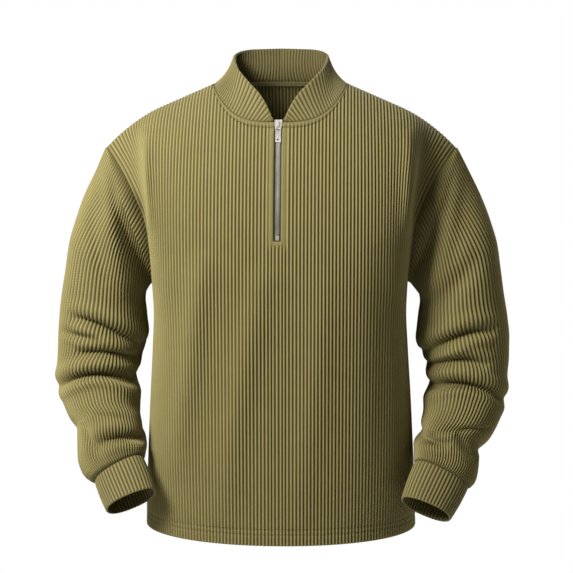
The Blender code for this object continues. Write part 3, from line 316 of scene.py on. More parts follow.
# Which way the sleeve faces where it leaves the armhole under, beside and over the arm, from
# which rise to which each holds, and which way the seam itself faces at both ends.
SLEEVE_UNDER = np.array([0.0, 0.0, -1.0])
SLEEVE_BESIDE = np.array([0.25, 0.95, 0.1])
SLEEVE_OVER = np.array([0.75, 0.0, 0.66])
UNDER_TO = 0.35
OVER_FROM = 0.7
SEAM_AT_UNDERARM = np.array([0.56, 0.0, -0.83])
SEAM_AT_TIP = np.array([0.62, 0.0, 0.78])

SLEEVE_COLUMNS = 292
SLEEVE_ROWS = 164
# Painted shade over the whole inside of a sleeve.
SLEEVE_INNER_SHADE = 0.4
SEAM_PLACES = (0.0, 0.02, 0.05)
CREASED_FROM = (4.0, 7.0)
CREASED_TO = (15.5, 16.5)
CREASED_EXTRA = 1.2
CUFF_TURN = 0.006

# A crease's trough, the rolls above and below it and its sag. Each lies so many of the crease's
# widths from its middle, and the lower roll's height is a part of the upper one's.
CREASE_PLACES = 61
CREASE_START = 0.8
CREASE_TAPER = 0.6
CREASE_OVER = 1.5
CREASE_UNDER = 0.8
UPPER_ROLL_AT = 1.9
LOWER_ROLL_AT = -1.7
LOWER_ROLL_WIDTH = 0.9
LOWER_ROLL_PART = 0.6
SAG_AT = 1.3

# The first creases of a table are the soft ones. Each kind shows where the cloth faces so far to
# the front, or to the back for the folds behind.
SOFT_CREASES = 3
SOFT_FACING = (-0.15, 0.45)
SHARP_FACING = (-0.5, 0.3)
BEHIND_FACING = (0.1, 0.7)

CUFF_COLUMNS = 264
CUFF_RIB_COLUMNS = 6
CUFF_RIB_RISE = 0.0007
CUFF_SWELL = 0.0012
CUFF_ROUND = 0.0016
CUFF_EDGE = 0.002
CUFF_EDGE_RIBS = 0.35
CUFF_PLACES = (0, 0.02, 0.05, *np.linspace(0.1, 0.93, 9), 0.96, 0.98, 0.99, 1.0)

COLLAR_FINE_RIBS = 52
COLLAR_RIB_RISE = 0.0006
# Painted shade over the whole inside of the collar, more in its grooves.
COLLAR_INNER_SHADE = 0.42
COLLAR_ROUND = 0.0030
COLLAR_RIM = 0.0028
COLLAR_RIM_RIBS = 0.4
COLLAR_PLACES = (0, 0.02, 0.05, *np.linspace(0.1, 0.93, 12), 0.955, 0.972, 0.985, 0.994, 1.0)
TUCK_POWER = 0.7
TUCK_SHARES = (0.05, 0.5)
TIP_SLOPE = 0.4
TIP_LEAST = 0.0006
FULL_FOLD = 0.6

TOOTH_PITCH = 0.0025
TOOTH_FIRST = 0.001
TEETH_SPARE = 0.0015
ARCH_STEPS = 12
ARCH_POWER = 0.6
ARCH_SINK = 0.0004

STITCH_PITCH = 0.0034
STITCH_LENGTH = 0.0027
STITCH_RADIUS = 0.00034
STITCH_CORNERS = 6
# Places along a stitch, with its thickness and its lift there in parts of its radius.
STITCH_PLACES = np.array([-0.5, -0.3, 0.3, 0.5])
STITCH_SWELL = np.array([0.45, 1.0, 1.0, 0.45])
STITCH_LIFT = np.array([-0.6, 0.45, 0.45, -0.6])
HEM_STITCH_SINK = 0.3
BAND_STITCH_RISE = 0.6

# ---- Colours, light and camera ----------------------------------------------------------------
# The crown colours are the yarn's own; the groove colours are painted shade, mixed in towards grooves,
# seams and insides.
CROWN_COLOUR = (0.214, 0.182, 0.068, 1.0)
GROOVE_SHADE_PAINT = (0.038, 0.030, 0.003, 1.0)
TRIM_CROWN = (0.188, 0.160, 0.060, 1.0)
TRIM_GROOVE_SHADE_PAINT = (0.030, 0.023, 0.003, 1.0)
THREAD_COLOUR = (0.12, 0.098, 0.032, 1.0)
# Painted light: the neck tape is coloured lighter than the cloth, standing in for light that does not
# reach it inside the collar.
NECK_TAPE_PAINTED_LIGHT = (0.30, 0.26, 0.10, 1.0)
STEEL_COLOUR = (0.78, 0.76, 0.73, 1.0)
TEETH_COLOUR = (0.80, 0.78, 0.74, 1.0)
TAPE_COLOUR = (0.09, 0.08, 0.035, 1.0)

# The yarn: how high a stitch is, how its legs lean and wander, how fine each kind of mottling is,
# and each kind's range of shade with its darkest value.
KNIT_STITCH = 0.0026
TRIM_STITCH = 0.0022
LEG_LEAN = 1.6
LEG_WANDER = 0.5
WANDER_SCALE = 900.0
PATCH_SCALE = 38.0
FIBRE_SCALE = 2600.0
PATCH_SHADES = (0.16, 0.92)
LEG_SHADES = (0.16, 0.92)
FIBRE_SHADES = (0.20, 0.90)
ROUGHNESS_RANGE = 0.09
TAPE_ZIGZAG = 0.0024
TAPE_PITCH = 0.0011

CAMERA_PLACE = (0.0998, -2.5981, 0.0)
CAMERA_AIM = (0.0089, 0.0, -0.31)
CAMERA_LENS = 102.97
CAMERA_SENSOR = 36.0
FLOOR_Z = -2.0
FLOOR_HALF = 2.6
ROOM_COLOUR = (0.28, 0.27, 0.23, 1.0)
WALL_COLOUR = (1.0, 1.0, 1.0, 1.0)
SEEN_COLOUR = (1.0, 1.0, 1.0, 1.0)
ROOM_TURN_FROM = 0.20
ROOM_TURN_TO = 0.80

# The key light, a near square panel up on the picture's left, and a broad distant light that falls
# steeply from behind onto the shoulders and folds.
KEY_PLACE = (-1.20, -1.25, 0.85)
KEY_AIM = (0.0, 0.0, -0.30)
KEY_SIDE = 0.8
KEY_POWER = 104.0
KEY_COLOUR = (1.0, 0.99, 0.97)
BACK_WAY = (-0.30, -0.50, -0.85)
BACK_SPREAD = 40.0
BACK_POWER = 1.2

# How many columns the sleeve's ribs slide towards the underarm, by distance from the armhole.
# Columns: distance, slide.
RIB_SLIDES = np.array([
    [0.000, -13.0],
    [0.014, -2.0],
    [0.030, 2.0],
    [0.060, 5.0],
    [0.100, 7.5],
    [0.150, 8.0],
    [0.230, 4.0],
    [0.300, 0.0],
    [0.900, 0.0],
])

# Sleeve creases seen from the front: a trough along a curve through three places, "width" to
# each side and "depth" into the cloth, under a roll of cloth "roll" high. A depth below zero is
# a ridge. The first ones are the soft folds that fall from the armhole.
# Columns: x0, z0, x1, z1, x2, z2, width, depth, roll.
CREASES_RIGHT = np.array([
    [0.2503, -0.1495, 0.2354, -0.2084, 0.2030, -0.3079, 0.0150, 0.0145, 0.0000],
    [0.2680, -0.1031, 0.2653, -0.1867, 0.2410, -0.3236, 0.0120, -0.0060, 0.0000],
    [0.2930, -0.1604, 0.2871, -0.2303, 0.2703, -0.3004, 0.0100, 0.0035, 0.0000],
    [0.3328, -0.3552, 0.2696, -0.3690, 0.2068, -0.4213, 0.0095, 0.0110, 0.0070],
    [0.3505, -0.3779, 0.3123, -0.3825, 0.2771, -0.3891, 0.0070, 0.0045, 0.0020],
    [0.3227, -0.4121, 0.2655, -0.4083, 0.2132, -0.4289, 0.0085, 0.0100, 0.0050],
    [0.3632, -0.4787, 0.2896, -0.4397, 0.2152, -0.4719, 0.0085, 0.0120, 0.0080],
    [0.2906, -0.5025, 0.2457, -0.5081, 0.2003, -0.5253, 0.0060, 0.0045, 0.0000],
    [0.2848, -0.5496, 0.2412, -0.5330, 0.1952, -0.5499, 0.0095, 0.0120, 0.0065],
    [0.3080, -0.5160, 0.2954, -0.5373, 0.2761, -0.5657, 0.0090, 0.0060, 0.0000],
])
CREASES_LEFT = np.array([
    [0.2476, -0.1516, 0.2285, -0.2071, 0.2028, -0.2845, 0.0150, 0.0145, 0.0000],
    [0.2680, -0.1024, 0.2656, -0.1854, 0.2359, -0.3216, 0.0120, -0.0060, 0.0000],
    [0.3120, -0.2476, 0.2800, -0.2900, 0.2400, -0.3420, 0.0150, 0.0060, 0.0000],
    [0.3374, -0.3729, 0.2780, -0.3784, 0.2095, -0.4283, 0.0100, 0.0115, 0.0070],
    [0.3243, -0.4285, 0.2738, -0.4163, 0.2190, -0.4421, 0.0080, 0.0090, 0.0050],
    [0.3663, -0.4963, 0.2867, -0.4510, 0.2098, -0.4823, 0.0085, 0.0120, 0.0080],
    [0.3314, -0.5247, 0.2736, -0.5188, 0.2094, -0.5269, 0.0055, 0.0045, 0.0000],
    [0.1999, -0.5397, 0.2300, -0.5338, 0.2645, -0.5450, 0.0080, 0.0105, 0.0050],
    [0.2746, -0.5224, 0.2914, -0.5441, 0.3114, -0.5689, 0.0110, 0.0075, 0.0000],
])

# Soft folds that fall down the body, in the same columns and with the wearer's left as +x.
FRONT_DRAPE = np.array([
    [-0.1100, -0.2400, -0.1330, -0.3919, -0.1607, -0.6000, 0.0200, -0.0075, 0.0000],
    [-0.0180, -0.2600, -0.0536, -0.4379, -0.0842, -0.6700, 0.0220, -0.0055, 0.0000],
    [0.0734, -0.2600, 0.0581, -0.4532, 0.0321, -0.6700, 0.0230, -0.0040, 0.0000],
    [0.1500, -0.2300, 0.1620, -0.3900, 0.1500, -0.6300, 0.0180, 0.0030, 0.0000],
    [-0.2030, -0.0600, -0.2050, -0.1300, -0.1990, -0.2150, 0.0095, -0.0070, 0.0000],
    [0.1970, -0.0550, 0.1990, -0.1300, 0.1950, -0.2250, 0.0105, -0.0075, 0.0000],
])
BACK_DRAPE = np.array([
    [0.1150, -0.2400, 0.1330, -0.4000, 0.1500, -0.6200, 0.0170, -0.0030, 0.0000],
    [0.0250, -0.2600, 0.0450, -0.4400, 0.0700, -0.6700, 0.0200, -0.0030, 0.0000],
    [-0.0700, -0.2500, -0.0600, -0.4500, -0.0350, -0.6700, 0.0220, -0.0025, 0.0000],
    [-0.1400, -0.2300, -0.1450, -0.4200, -0.1300, -0.6300, 0.0180, -0.0025, 0.0000],
])


# ---- Curves and directions --------------------------------------------------------------------
def ease(start, end, value):
    """0 before start, 1 after end and smooth between."""
    t = np.clip((np.asarray(value, float) - start) / (end - start), 0, 1)
    return t * t * (3 - 2 * t)


def bell(value, middle, width):
    """1 at the middle and smoothly down to nothing some two widths from it."""
    return np.exp(-((value - middle) / width) ** 2)


def unit(vectors):
    """Vectors of length one."""
    return vectors / np.maximum(np.linalg.norm(vectors, axis=-1, keepdims=True), 1e-12)


def turned(directions, toward, share):
    """Directions turned by a share of the way towards others."""
    return unit(directions * (1 - share) + toward * share)


def smooth_rows(table, places):
    """Rows read from a table at places in its first column, on a smooth curve with no overshoot."""
    knots = table[:, 0]
    span = np.diff(knots)
    places = np.clip(np.asarray(places, float), knots[0], knots[-1])
    index = np.clip(np.searchsorted(knots, places, side="right") - 1, 0, len(span) - 1)
    t = ((places - knots[index]) / span[index])[..., None]
    rise = np.diff(table, axis=0) / span[:, None]
    slope = np.zeros_like(table)
    slope[0], slope[-1] = rise[0], rise[-1]
    before, after = rise[:-1], rise[1:]
    same_way = before * after > 0
    slope[1:-1] = np.where(same_way, 2 * before * after / np.where(same_way, before + after, 1.0), 0.0)
    width = span[index][..., None]
    return ((1 + 2 * t) * (1 - t) ** 2 * table[index]
            + t * (1 - t) ** 2 * width * slope[index]
            + t * t * (3 - 2 * t) * table[index + 1]
            + t * t * (t - 1) * width * slope[index + 1])


def lengths_along(rows):
    """Running length from the first row on, of a polyline or of each column of a grid."""
    steps = np.linalg.norm(np.diff(rows[..., :3], axis=0), axis=-1)
    return np.concatenate([np.zeros((1,) + steps.shape[1:]), np.cumsum(steps, axis=0)])


def read_rows(places, along, rows):
    """Rows read between the given ones, at places on the scale 'along'."""
    return np.stack([np.interp(places, along, column) for column in rows.T], axis=-1)


def resample(points, shares, keep_from=None):
    """Rows at the given shares of a polyline's length; columns after the third are carried along.

    With 'keep_from' the columns keep a half panel's spacing up to that share, and what the line
    is longer or shorter is taken up after it."""
    along = lengths_along(points)
    at = np.asarray(shares) * along[-1]
    if keep_from is not None:
        spare = along[-1] - HALF_PANEL
        at = np.asarray(shares) * HALF_PANEL + spare * ease(keep_from, 1.0, shares)
    return read_rows(at, along, points)


def both_sides(half, mirror=(-1, 1, 1)):
    """A half grid, from the centre outwards, with its mirror image before it."""
    return np.concatenate([half[:, :0:-1] * np.array(mirror), half], axis=1)


def from_ends(count):
    """How many steps each of 'count' places lies from the nearer end."""
    steps = np.arange(count)
    return np.minimum(steps, steps[-1] - steps)


def grid_normals(grid, outward, closed=False):
    """Unit normals of a grid, all turned to the side that 'outward' points to at its middle."""
    if closed:
        across = np.roll(grid, -1, axis=1) - np.roll(grid, 1, axis=1)
    else:
        across = np.gradient(grid, axis=1)
    normals = unit(np.cross(across, np.gradient(grid, axis=0)))
    middle = normals[len(normals) // 2, 0 if closed else normals.shape[1] // 2]
    return normals if middle @ np.asarray(outward, float) > 0 else -normals


# ---- The model's sections ---------------------------------------------------------------------
def shoulder_z(x):
    """Height of the shoulder seam: straight off the neck, bending down over the arm."""
    bend = np.maximum(x - BEND_FROM_X, 0) ** 2
    return NECK_SIDE_Z - SHOULDER_SLOPE * (x - NECK_HALF_WIDTH) - SHOULDER_BEND * bend


def neckline_z(x, facing):
    """Height of the neckline above a place beside the centre; facing is -1 front, +1 back."""
    part = np.clip(np.abs(x) / NECK_HALF_WIDTH, 0, 1)
    if facing < 0:
        return NECK_FRONT_Z + (NECK_SIDE_Z - NECK_FRONT_Z) * part ** NECK_FRONT_POWER
    return NECK_BACK_Z + (NECK_SIDE_Z - NECK_BACK_Z) * part ** NECK_BACK_POWER


def armhole(rise, facing):
    """Armhole edge from the underarm (rise 0) to the shoulder tip (rise 1)."""
    x, front_y, back_y = np.moveaxis(smooth_rows(ARMHOLE, rise)[..., 1:], -1, 0)
    z = UNDERARM_Z + (float(shoulder_z(TIP_X)) - UNDERARM_Z) * np.asarray(rise, float)
    return np.stack([x, front_y if facing < 0 else back_y, z], axis=-1)


def section(half_width, turn_y, depth, squareness, reach, edge):
    """Half a level section in front: centre to the side fold, then back and out to the edge."""
    turn = np.linspace(0.0, math.pi / 2, FOLD_PLACES)
    x = half_width * np.sin(turn) ** (2 / squareness)
    y = turn_y - (depth + turn_y) * np.cos(turn) ** (2 / squareness)
    curve = np.stack([x, y], axis=-1)
    fold = curve[-1]
    run = edge - fold
    if reach > 0 or np.hypot(*run) > SEAM_GAP:
        t = np.linspace(0.0, 1.0, RUN_PLACES)[1:, None]
        inset = TROUGH_INSET * min(1.0, reach / DEEP_REACH)
        leave = fold + [inset / FOLD_INSET_PARTS, max(reach, run[1] / 3)]
        arrive = edge + [-inset, reach if reach > 0 else -run[1] / 3]
        tail = ((1 - t) ** 3 * fold + 3 * t * (1 - t) ** 2 * leave
                + 3 * t * t * (1 - t) * arrive + t ** 3 * edge)
        curve = np.concatenate([curve, tail])
    return curve


def lower_columns(shares, facing, heights):
    """Level half rings of the body: (heights, shares, 3)."""
    seam_y = SIDE_SEAM_Y * -facing
    rings = []
    for height, half_width, fold_y, front_depth, back_depth, squareness in smooth_rows(TORSO, heights):
        turn_y, depth = (fold_y, front_depth) if facing < 0 else (seam_y, back_depth)
        half = section(half_width, turn_y, depth, squareness, 0.0, np.array([half_width, seam_y]))
        half = resample(half, shares, EVEN_FROM)
        rings.append(np.column_stack([half[:, 0], -facing * half[:, 1], np.full(len(half), height)]))
    return np.array(rings)


def chest_sections(shares, facing):
    """Level half sections of the chest from the underarm (rise 0) to the shoulder (rise 1)."""
    low = SIDE_SEAM_Y * -facing
    sections = []
    for row in smooth_rows(CHEST, np.linspace(0, 1, CHEST_LEVELS + 1)):
        rise, fold_x, fold_y, front_depth, back_depth, squareness, reach = row
        edge = armhole(rise, facing)
        fall = max((1 - min(rise, LAST_LEAN) ** EDGE_ROUNDING) ** (1 / EDGE_ROUNDING), LEAST_FALL)
        end = np.array([edge[0], -abs(edge[1]) / fall if rise > SIDE_SEAM_RISE else low])
        if facing < 0:
            half = section(fold_x, fold_y, front_depth, squareness, reach, end)
        else:
            turn_y = low * (1 - rise) + BACK_FOLD_PART * fold_y * float(ease(0, BACK_FOLD_RISE, rise))
            turn_y = min(turn_y, end[1] - LEAST_RUN * float(ease(0, LEAST_RUN_RISE, rise)))
            half = section(fold_x, turn_y, back_depth, squareness, BACK_REACH_PART * reach, end)
        half = resample(half, shares, EVEN_FROM)
        half[:, 1] *= -facing
        sections.append(half)
    return np.array(sections)


def upper_columns(shares, facing):
    """Dense columns from the underarm level up to the shoulder seam's line: (places, shares, 3)."""
    neck_share = NECK_HALF_WIDTH / HALF_PANEL
    beyond_neck = (TIP_X - NECK_HALF_WIDTH) * (shares - neck_share) / (1 - neck_share)
    across = np.where(shares <= neck_share, shares * HALF_PANEL, NECK_HALF_WIDTH + beyond_neck)
    crest = CREST_Z - (CREST_Z - NECK_SIDE_Z) * (across / NECK_HALF_WIDTH) ** 2
    top_z = np.where(across < NECK_HALF_WIDTH, crest, shoulder_z(across))
    rounding = np.interp(shares, ROUNDING_SHARE, FRONT_ROUNDING if facing < 0 else BACK_ROUNDING)

    sections = chest_sections(shares, facing)
    columns = np.arange(len(shares))
    quarter = np.linspace(0, math.pi / 2, COLUMN_PLACES)
    rows = []
    for angle in quarter:
        rise = np.sin(angle) ** (2 / rounding)
        fall = np.cos(angle) ** (2 / rounding)
        level = np.minimum((rise * CHEST_LEVELS).astype(int), CHEST_LEVELS - 1)
        part = (rise * CHEST_LEVELS - level)[:, None]
        flat = sections[level, columns] * (1 - part) + sections[level + 1, columns] * part
        out = rise ** 2
        rows.append(np.stack([flat[:, 0] * (1 - out) + across * out, flat[:, 1] * fall,
                              UNDERARM_Z + (top_z - UNDERARM_Z) * rise], axis=-1))
    rows = np.array(rows)
    edge = armhole(np.sin(quarter) ** (2 / EDGE_ROUNDING), facing)
    pull = ease(EDGE_PULL_FROM, 1.0, shares)[None, :, None]
    return rows + pull * (edge - rows[:, -1])[:, None, :]


def cut_at_neckline(column, facing):
    """A dense column, ended where it meets the neckline."""
    if column[-1, 0] >= NECK_HALF_WIDTH - 1e-6:
        return column
    over = column[:, 2] - neckline_z(column[:, 0], facing)
    after = int(np.argmax(over > 0))
    part = -over[after - 1] / (over[after] - over[after - 1])
    meeting = column[after - 1] + part * (column[after] - column[after - 1])
    return np.concatenate([column[:after], [meeting]])


def neck_lengths(facing):
    """Lengths of the upper columns at the centre and at the neck's side point."""
    ends = upper_columns(np.array([0.0, NECK_HALF_WIDTH / HALF_PANEL]), facing)
    return [lengths_along(cut_at_neckline(ends[:, index], facing))[-1] for index in (0, 1)]


def ring_frame(row):
    """Middle, half width, side direction and front direction of one sleeve ring."""
    out_x, out_z, in_x, in_z, mid_y, half_depth, pitch = row
    outer = np.array([out_x, mid_y, out_z])
    inner = np.array([in_x, mid_y, in_z])
    lean = math.radians(pitch)
    front = np.array([0.0, -math.cos(lean), math.sin(lean)])
    return (outer + inner) / 2, (outer - inner) / 2, front * half_depth


def squared(wave):
    """A sine or cosine drawn out to the squareness of the sleeve's rings."""
    return np.sign(wave) * np.abs(wave) ** (2 / RING_SQUARENESS)


def ellipse_ring(row, count):
    """A sleeve ring of 'count' even steps from its outer side over the front."""
    middle, side, front = ring_frame(row)
    turn = np.linspace(0, 2 * math.pi, RING_PLACES)
    loop = middle + squared(np.cos(turn))[:, None] * side + squared(np.sin(turn))[:, None] * front
    return resample(loop, np.arange(count) / count)


def sleeve_rings(table, ring_zero, places):
    """The sleeve's middle surface: rings from the armhole to the cuff seam, outer side first."""
    rows = smooth_rows(table, places)[:, 1:]
    start, start_side, start_front = ring_frame(rows[0])
    local = ring_zero - start
    wide = local @ start_side / (start_side @ start_side)
    deep = local @ start_front / (start_front @ start_front)
    grid = []
    for place, row in zip(places, rows):
        middle, side, front = ring_frame(row)
        carried = middle + wide[:, None] * side + deep[:, None] * front
        share = float(ease(0, ARMHOLE_BLEND, place))
        grid.append(carried * (1 - share) + ellipse_ring(row, len(ring_zero)) * share)
    grid = np.array(grid)
    grid[0] = ring_zero
    return grid


# ---- Fine panels ------------------------------------------------------------------------------
def panel_distances(facing):
    """Distances of a half panel's columns from its centre, four to a rib."""
    steps = np.arange(HALF_COLUMNS + 1)
    places = steps * RIB_STEP
    places[-1] = HALF_PANEL
    if facing < 0:
        known = (0, SLIT_COLUMN, BAND_COLUMN, EVEN_COLUMN)
        held = (0.0, SLIT_HALF, BAND_OUTER, EVEN_COLUMN * RIB_STEP)
        near = steps < EVEN_COLUMN
        places[near] = np.interp(steps[near], known, held)
    return places


def low_heights():
    """Level rows from the hem's edge up, close together at the turned edge and its sewing."""
    return np.concatenate([HEM_FOOT_Z + np.array(HEM_ROWS),
                           np.linspace(HEM_FOOT_Z + HEM_ROWS[-1], UNDERARM_Z, PLAIN_ROWS + 1)[1:]])


def placed_rows(column, share, facing, centre_length, neck_length):
    """Where the rows lie along one upper column."""
    total = SLIT_ROWS + CHEST_ROWS
    along = lengths_along(column)
    part = min(share * HALF_PANEL / NECK_HALF_WIDTH, 1.0)
    plain = centre_length + (neck_length - centre_length) * part ** CORNER_POWER
    plain = plain if part < 1 else along[-1]
    near_neck = 1 - float(ease(NECK_ROWS_END, SHOULDER_ROWS_START, share))
    below_band = 1 - BAND_DISTANCES[0] / plain
    even = np.linspace(0, below_band, total + 1)
    rows = even.copy()
    if facing < 0:
        foot = np.interp(SLIT_BOTTOM_Z, column[:, 2], along) / plain
        special = np.concatenate([np.linspace(0, foot, SLIT_ROWS + 1),
                                  np.linspace(foot, below_band, CHEST_ROWS + 1)[1:]])
        rows += (special - even) * near_neck
    drawn = np.linspace(0, 1, total + 1) ** DRAW_POWER
    placed = rows * plain + (along[-1] - plain) * drawn
    return np.concatenate([placed, along[-1] - np.array(BAND_DISTANCES[1:])])


def fine_half(facing):
    """Half a panel: its points, outward directions and distances below the upper edge."""
    shares = panel_distances(facing) / HALF_PANEL
    low = lower_columns(shares, facing, low_heights())
    dense = upper_columns(shares, facing)
    ends = neck_lengths(facing)
    high, left = [], []
    for column, share in enumerate(shares):
        line = cut_at_neckline(dense[:, column], facing)
        places = placed_rows(line, share, facing, *ends)
        along = lengths_along(line)
        high.append(read_rows(places, along, line)[1:])
        left.append((along[-1] - places)[1:])
    grid = np.concatenate([low, np.array(high).transpose(1, 0, 2)])
    below_edge = np.concatenate([np.full(low.shape[:2], FAR), np.array(left).T])
    normals = grid_normals(grid, (0.3, facing, 0.1))
    part = facing * SEAM_GAP / 2
    grid[:UNDERARM_ROW + 1, -1, 1] += part
    on_shoulder = shares >= NECK_HALF_WIDTH / HALF_PANEL - 1e-9
    grid[-1, on_shoulder, 1] += part
    normals[-1, on_shoulder, 1] = 0
    normals[:UNDERARM_ROW, -1, 1:] = 0
    return grid, unit(normals), below_edge


def armhole_seam(grid, normals, facing):
    """The armhole's edge and its outward directions, midway between panel and sleeve, from below."""
    panel = normals[UNDERARM_ROW:, -3]
    rise = np.linspace(0, 1, len(panel))[:, None]
    low, high = ease(0, UNDER_TO, rise), ease(OVER_FROM, 1, rise)
    beside = SLEEVE_BESIDE * [1, facing, 1]
    sleeve = unit(SLEEVE_UNDER * (1 - low) + beside * low * (1 - high) + SLEEVE_OVER * high)
    seam = unit(panel + sleeve)
    seam[0] = unit(SEAM_AT_UNDERARM)
    seam[-1] = unit(SEAM_AT_TIP)
    return grid[UNDERARM_ROW:, -1], seam


def neck_columns(facing):
    """The columns of a half panel that end on the neckline."""
    return slice(SLIT_COLUMN if facing < 0 else 0, NECK_COLUMN + 1)


def neck_line(halves):
    """The neckline from the zip to the centre back: points and outward directions midway between
    body and collar. It also evens out the front's own edge between the slit and the band."""
    front, back = (halves[facing][0][-1, neck_columns(facing)] for facing in (-1, 1))
    front_outs, back_outs = (halves[facing][1][-1, neck_columns(facing)] for facing in (-1, 1))
    last = BAND_COLUMN - SLIT_COLUMN
    front[0] += (front[last] - front[0]) * (COLLAR_START_X - SLIT_HALF) / (BAND_OUTER - SLIT_HALF)
    front[1:last] = front[0] + (front[last] - front[0]) * np.arange(1, last)[:, None] / last
    points = np.concatenate([front, back[::-1]])
    body = np.concatenate([front_outs, back_outs[::-1]])
    along = lengths_along(points) / lengths_along(points)[-1]
    rise = unit(smooth_rows(COLLAR_EDGE, along)[:, 1:] - points)
    collar = unit(np.cross(unit(np.gradient(points, axis=0)), rise))
    collar *= np.sign(np.sum(collar * points * [1, 1, 0], axis=1))[:, None]
    collar[:last] = collar[last]
    return points, unit(body + collar)


def turn_to_seams(halves):
    """Turns the panels' directions to those of the neck and armhole seams near the edges."""
    points, outs = neck_line(halves)
    count = NECK_COLUMN - SLIT_COLUMN + 1
    seams = {}
    for facing in (-1, 1):
        grid, normals, below_edge = halves[facing]
        columns = neck_columns(facing)
        seam = outs[:count] if facing < 0 else outs[count:][::-1]
        weight = (1 - ease(0, NECK_TURN, below_edge[:, columns]))[..., None]
        normals[:, columns] = turned(normals[:, columns], seam, weight)
        edge, side = armhole_seam(grid, normals, facing)
        seams[facing] = (edge, side)
        for back in range(ARM_TURN_COLUMNS):
            weight = 1 - float(ease(0, ARM_TURN_COLUMNS, back))
            column = normals[UNDERARM_ROW:, -1 - back]
            normals[UNDERARM_ROW:, -1 - back] = turned(column, side, weight)
    return points, outs, seams


def rim(distance, thickness, width):
    """Offsets of the outer and inner side where a wall's free edge is rounded off."""
    full = np.sqrt(np.clip(1 - (1 - np.clip(distance / width, 0, 1)) ** 2, LEAST_RIM, 1))
    thinner = (1 - full) * thickness / 2
    return -thinner, thinner


def rib_wave(steps, columns_a_rib=RIB_COLUMNS):
    """+1 on a rib's crown and -1 in the groove: broad crowns and narrow grooves."""
    turn = np.cos(2 * math.pi * steps / columns_a_rib)
    return turn + RIB_BREADTH * (1 - turn ** 2)


def painted_rib_shade(level):
    """0 on a crown and 1 in a groove, for the painted shade in the grooves."""
    return np.clip((1 - level) / 2, 0, 1)


def painted_shade_depth(level, strength, seams):
    """How deep in a groove or seam the cloth's outer side lies, for the painted shade there."""
    return painted_rib_shade(level) * (FLAT_SHADE + RIBBED_SHADE * strength) + SEAM_SHADE * seams


def drape(grid, normals, facing):
    """Lays soft long folds in a panel, none of them at its side seams."""
    out = crease_shift(grid, FRONT_DRAPE if facing < 0 else BACK_DRAPE, 1.0)[0]
    out = out * ease(0.0, DRAPE_MARGIN, from_ends(grid.shape[1]) * RIB_STEP)[None, :]
    draped = grid.copy()
    draped[..., 1] += facing * out
    outward = (0.0, facing, 0.1)
    return draped, unit(normals + (grid_normals(draped, outward) - grid_normals(grid, outward)))


def zip_bands(heights, steps):
    """What the plain bands beside the slit and the sewn box below it leave of the ribs, and how
    far they raise the cloth."""
    placket_foot, placket_full = (SLIT_BOTTOM_Z - drop for drop in PLACKET_FOOT)
    groove_foot, groove_full = (SLIT_BOTTOM_Z - drop for drop in GROOVE_FOOT)
    in_band = (steps < BAND_COLUMN)[None, :]
    above_foot = heights - SLIT_BOTTOM_Z
    placket = ease(placket_foot, placket_full, heights) * in_band
    groove = ease(groove_foot, groove_full, heights) * (steps == BAND_COLUMN)[None, :]
    foot = bell(above_foot, -BOX_FOOT, BOX_FOOT_WIDTH) * (steps <= BAND_COLUMN)[None, :]
    box_line = bell(above_foot, -BOX_LINE, BOX_LINE_WIDTH) * in_band
    slit_edge = (heights > SLIT_BOTTOM_Z - 1e-6) & (steps == SLIT_COLUMN)[None, :]
    raised = PLACKET_RAISE * placket - PLACKET_GROOVE * groove - PLACKET_GROOVE * foot
    return (1 - placket) * (1 - groove), raised - SLIT_EDGE_SINK * slit_edge - BOX_LINE_SINK * box_line


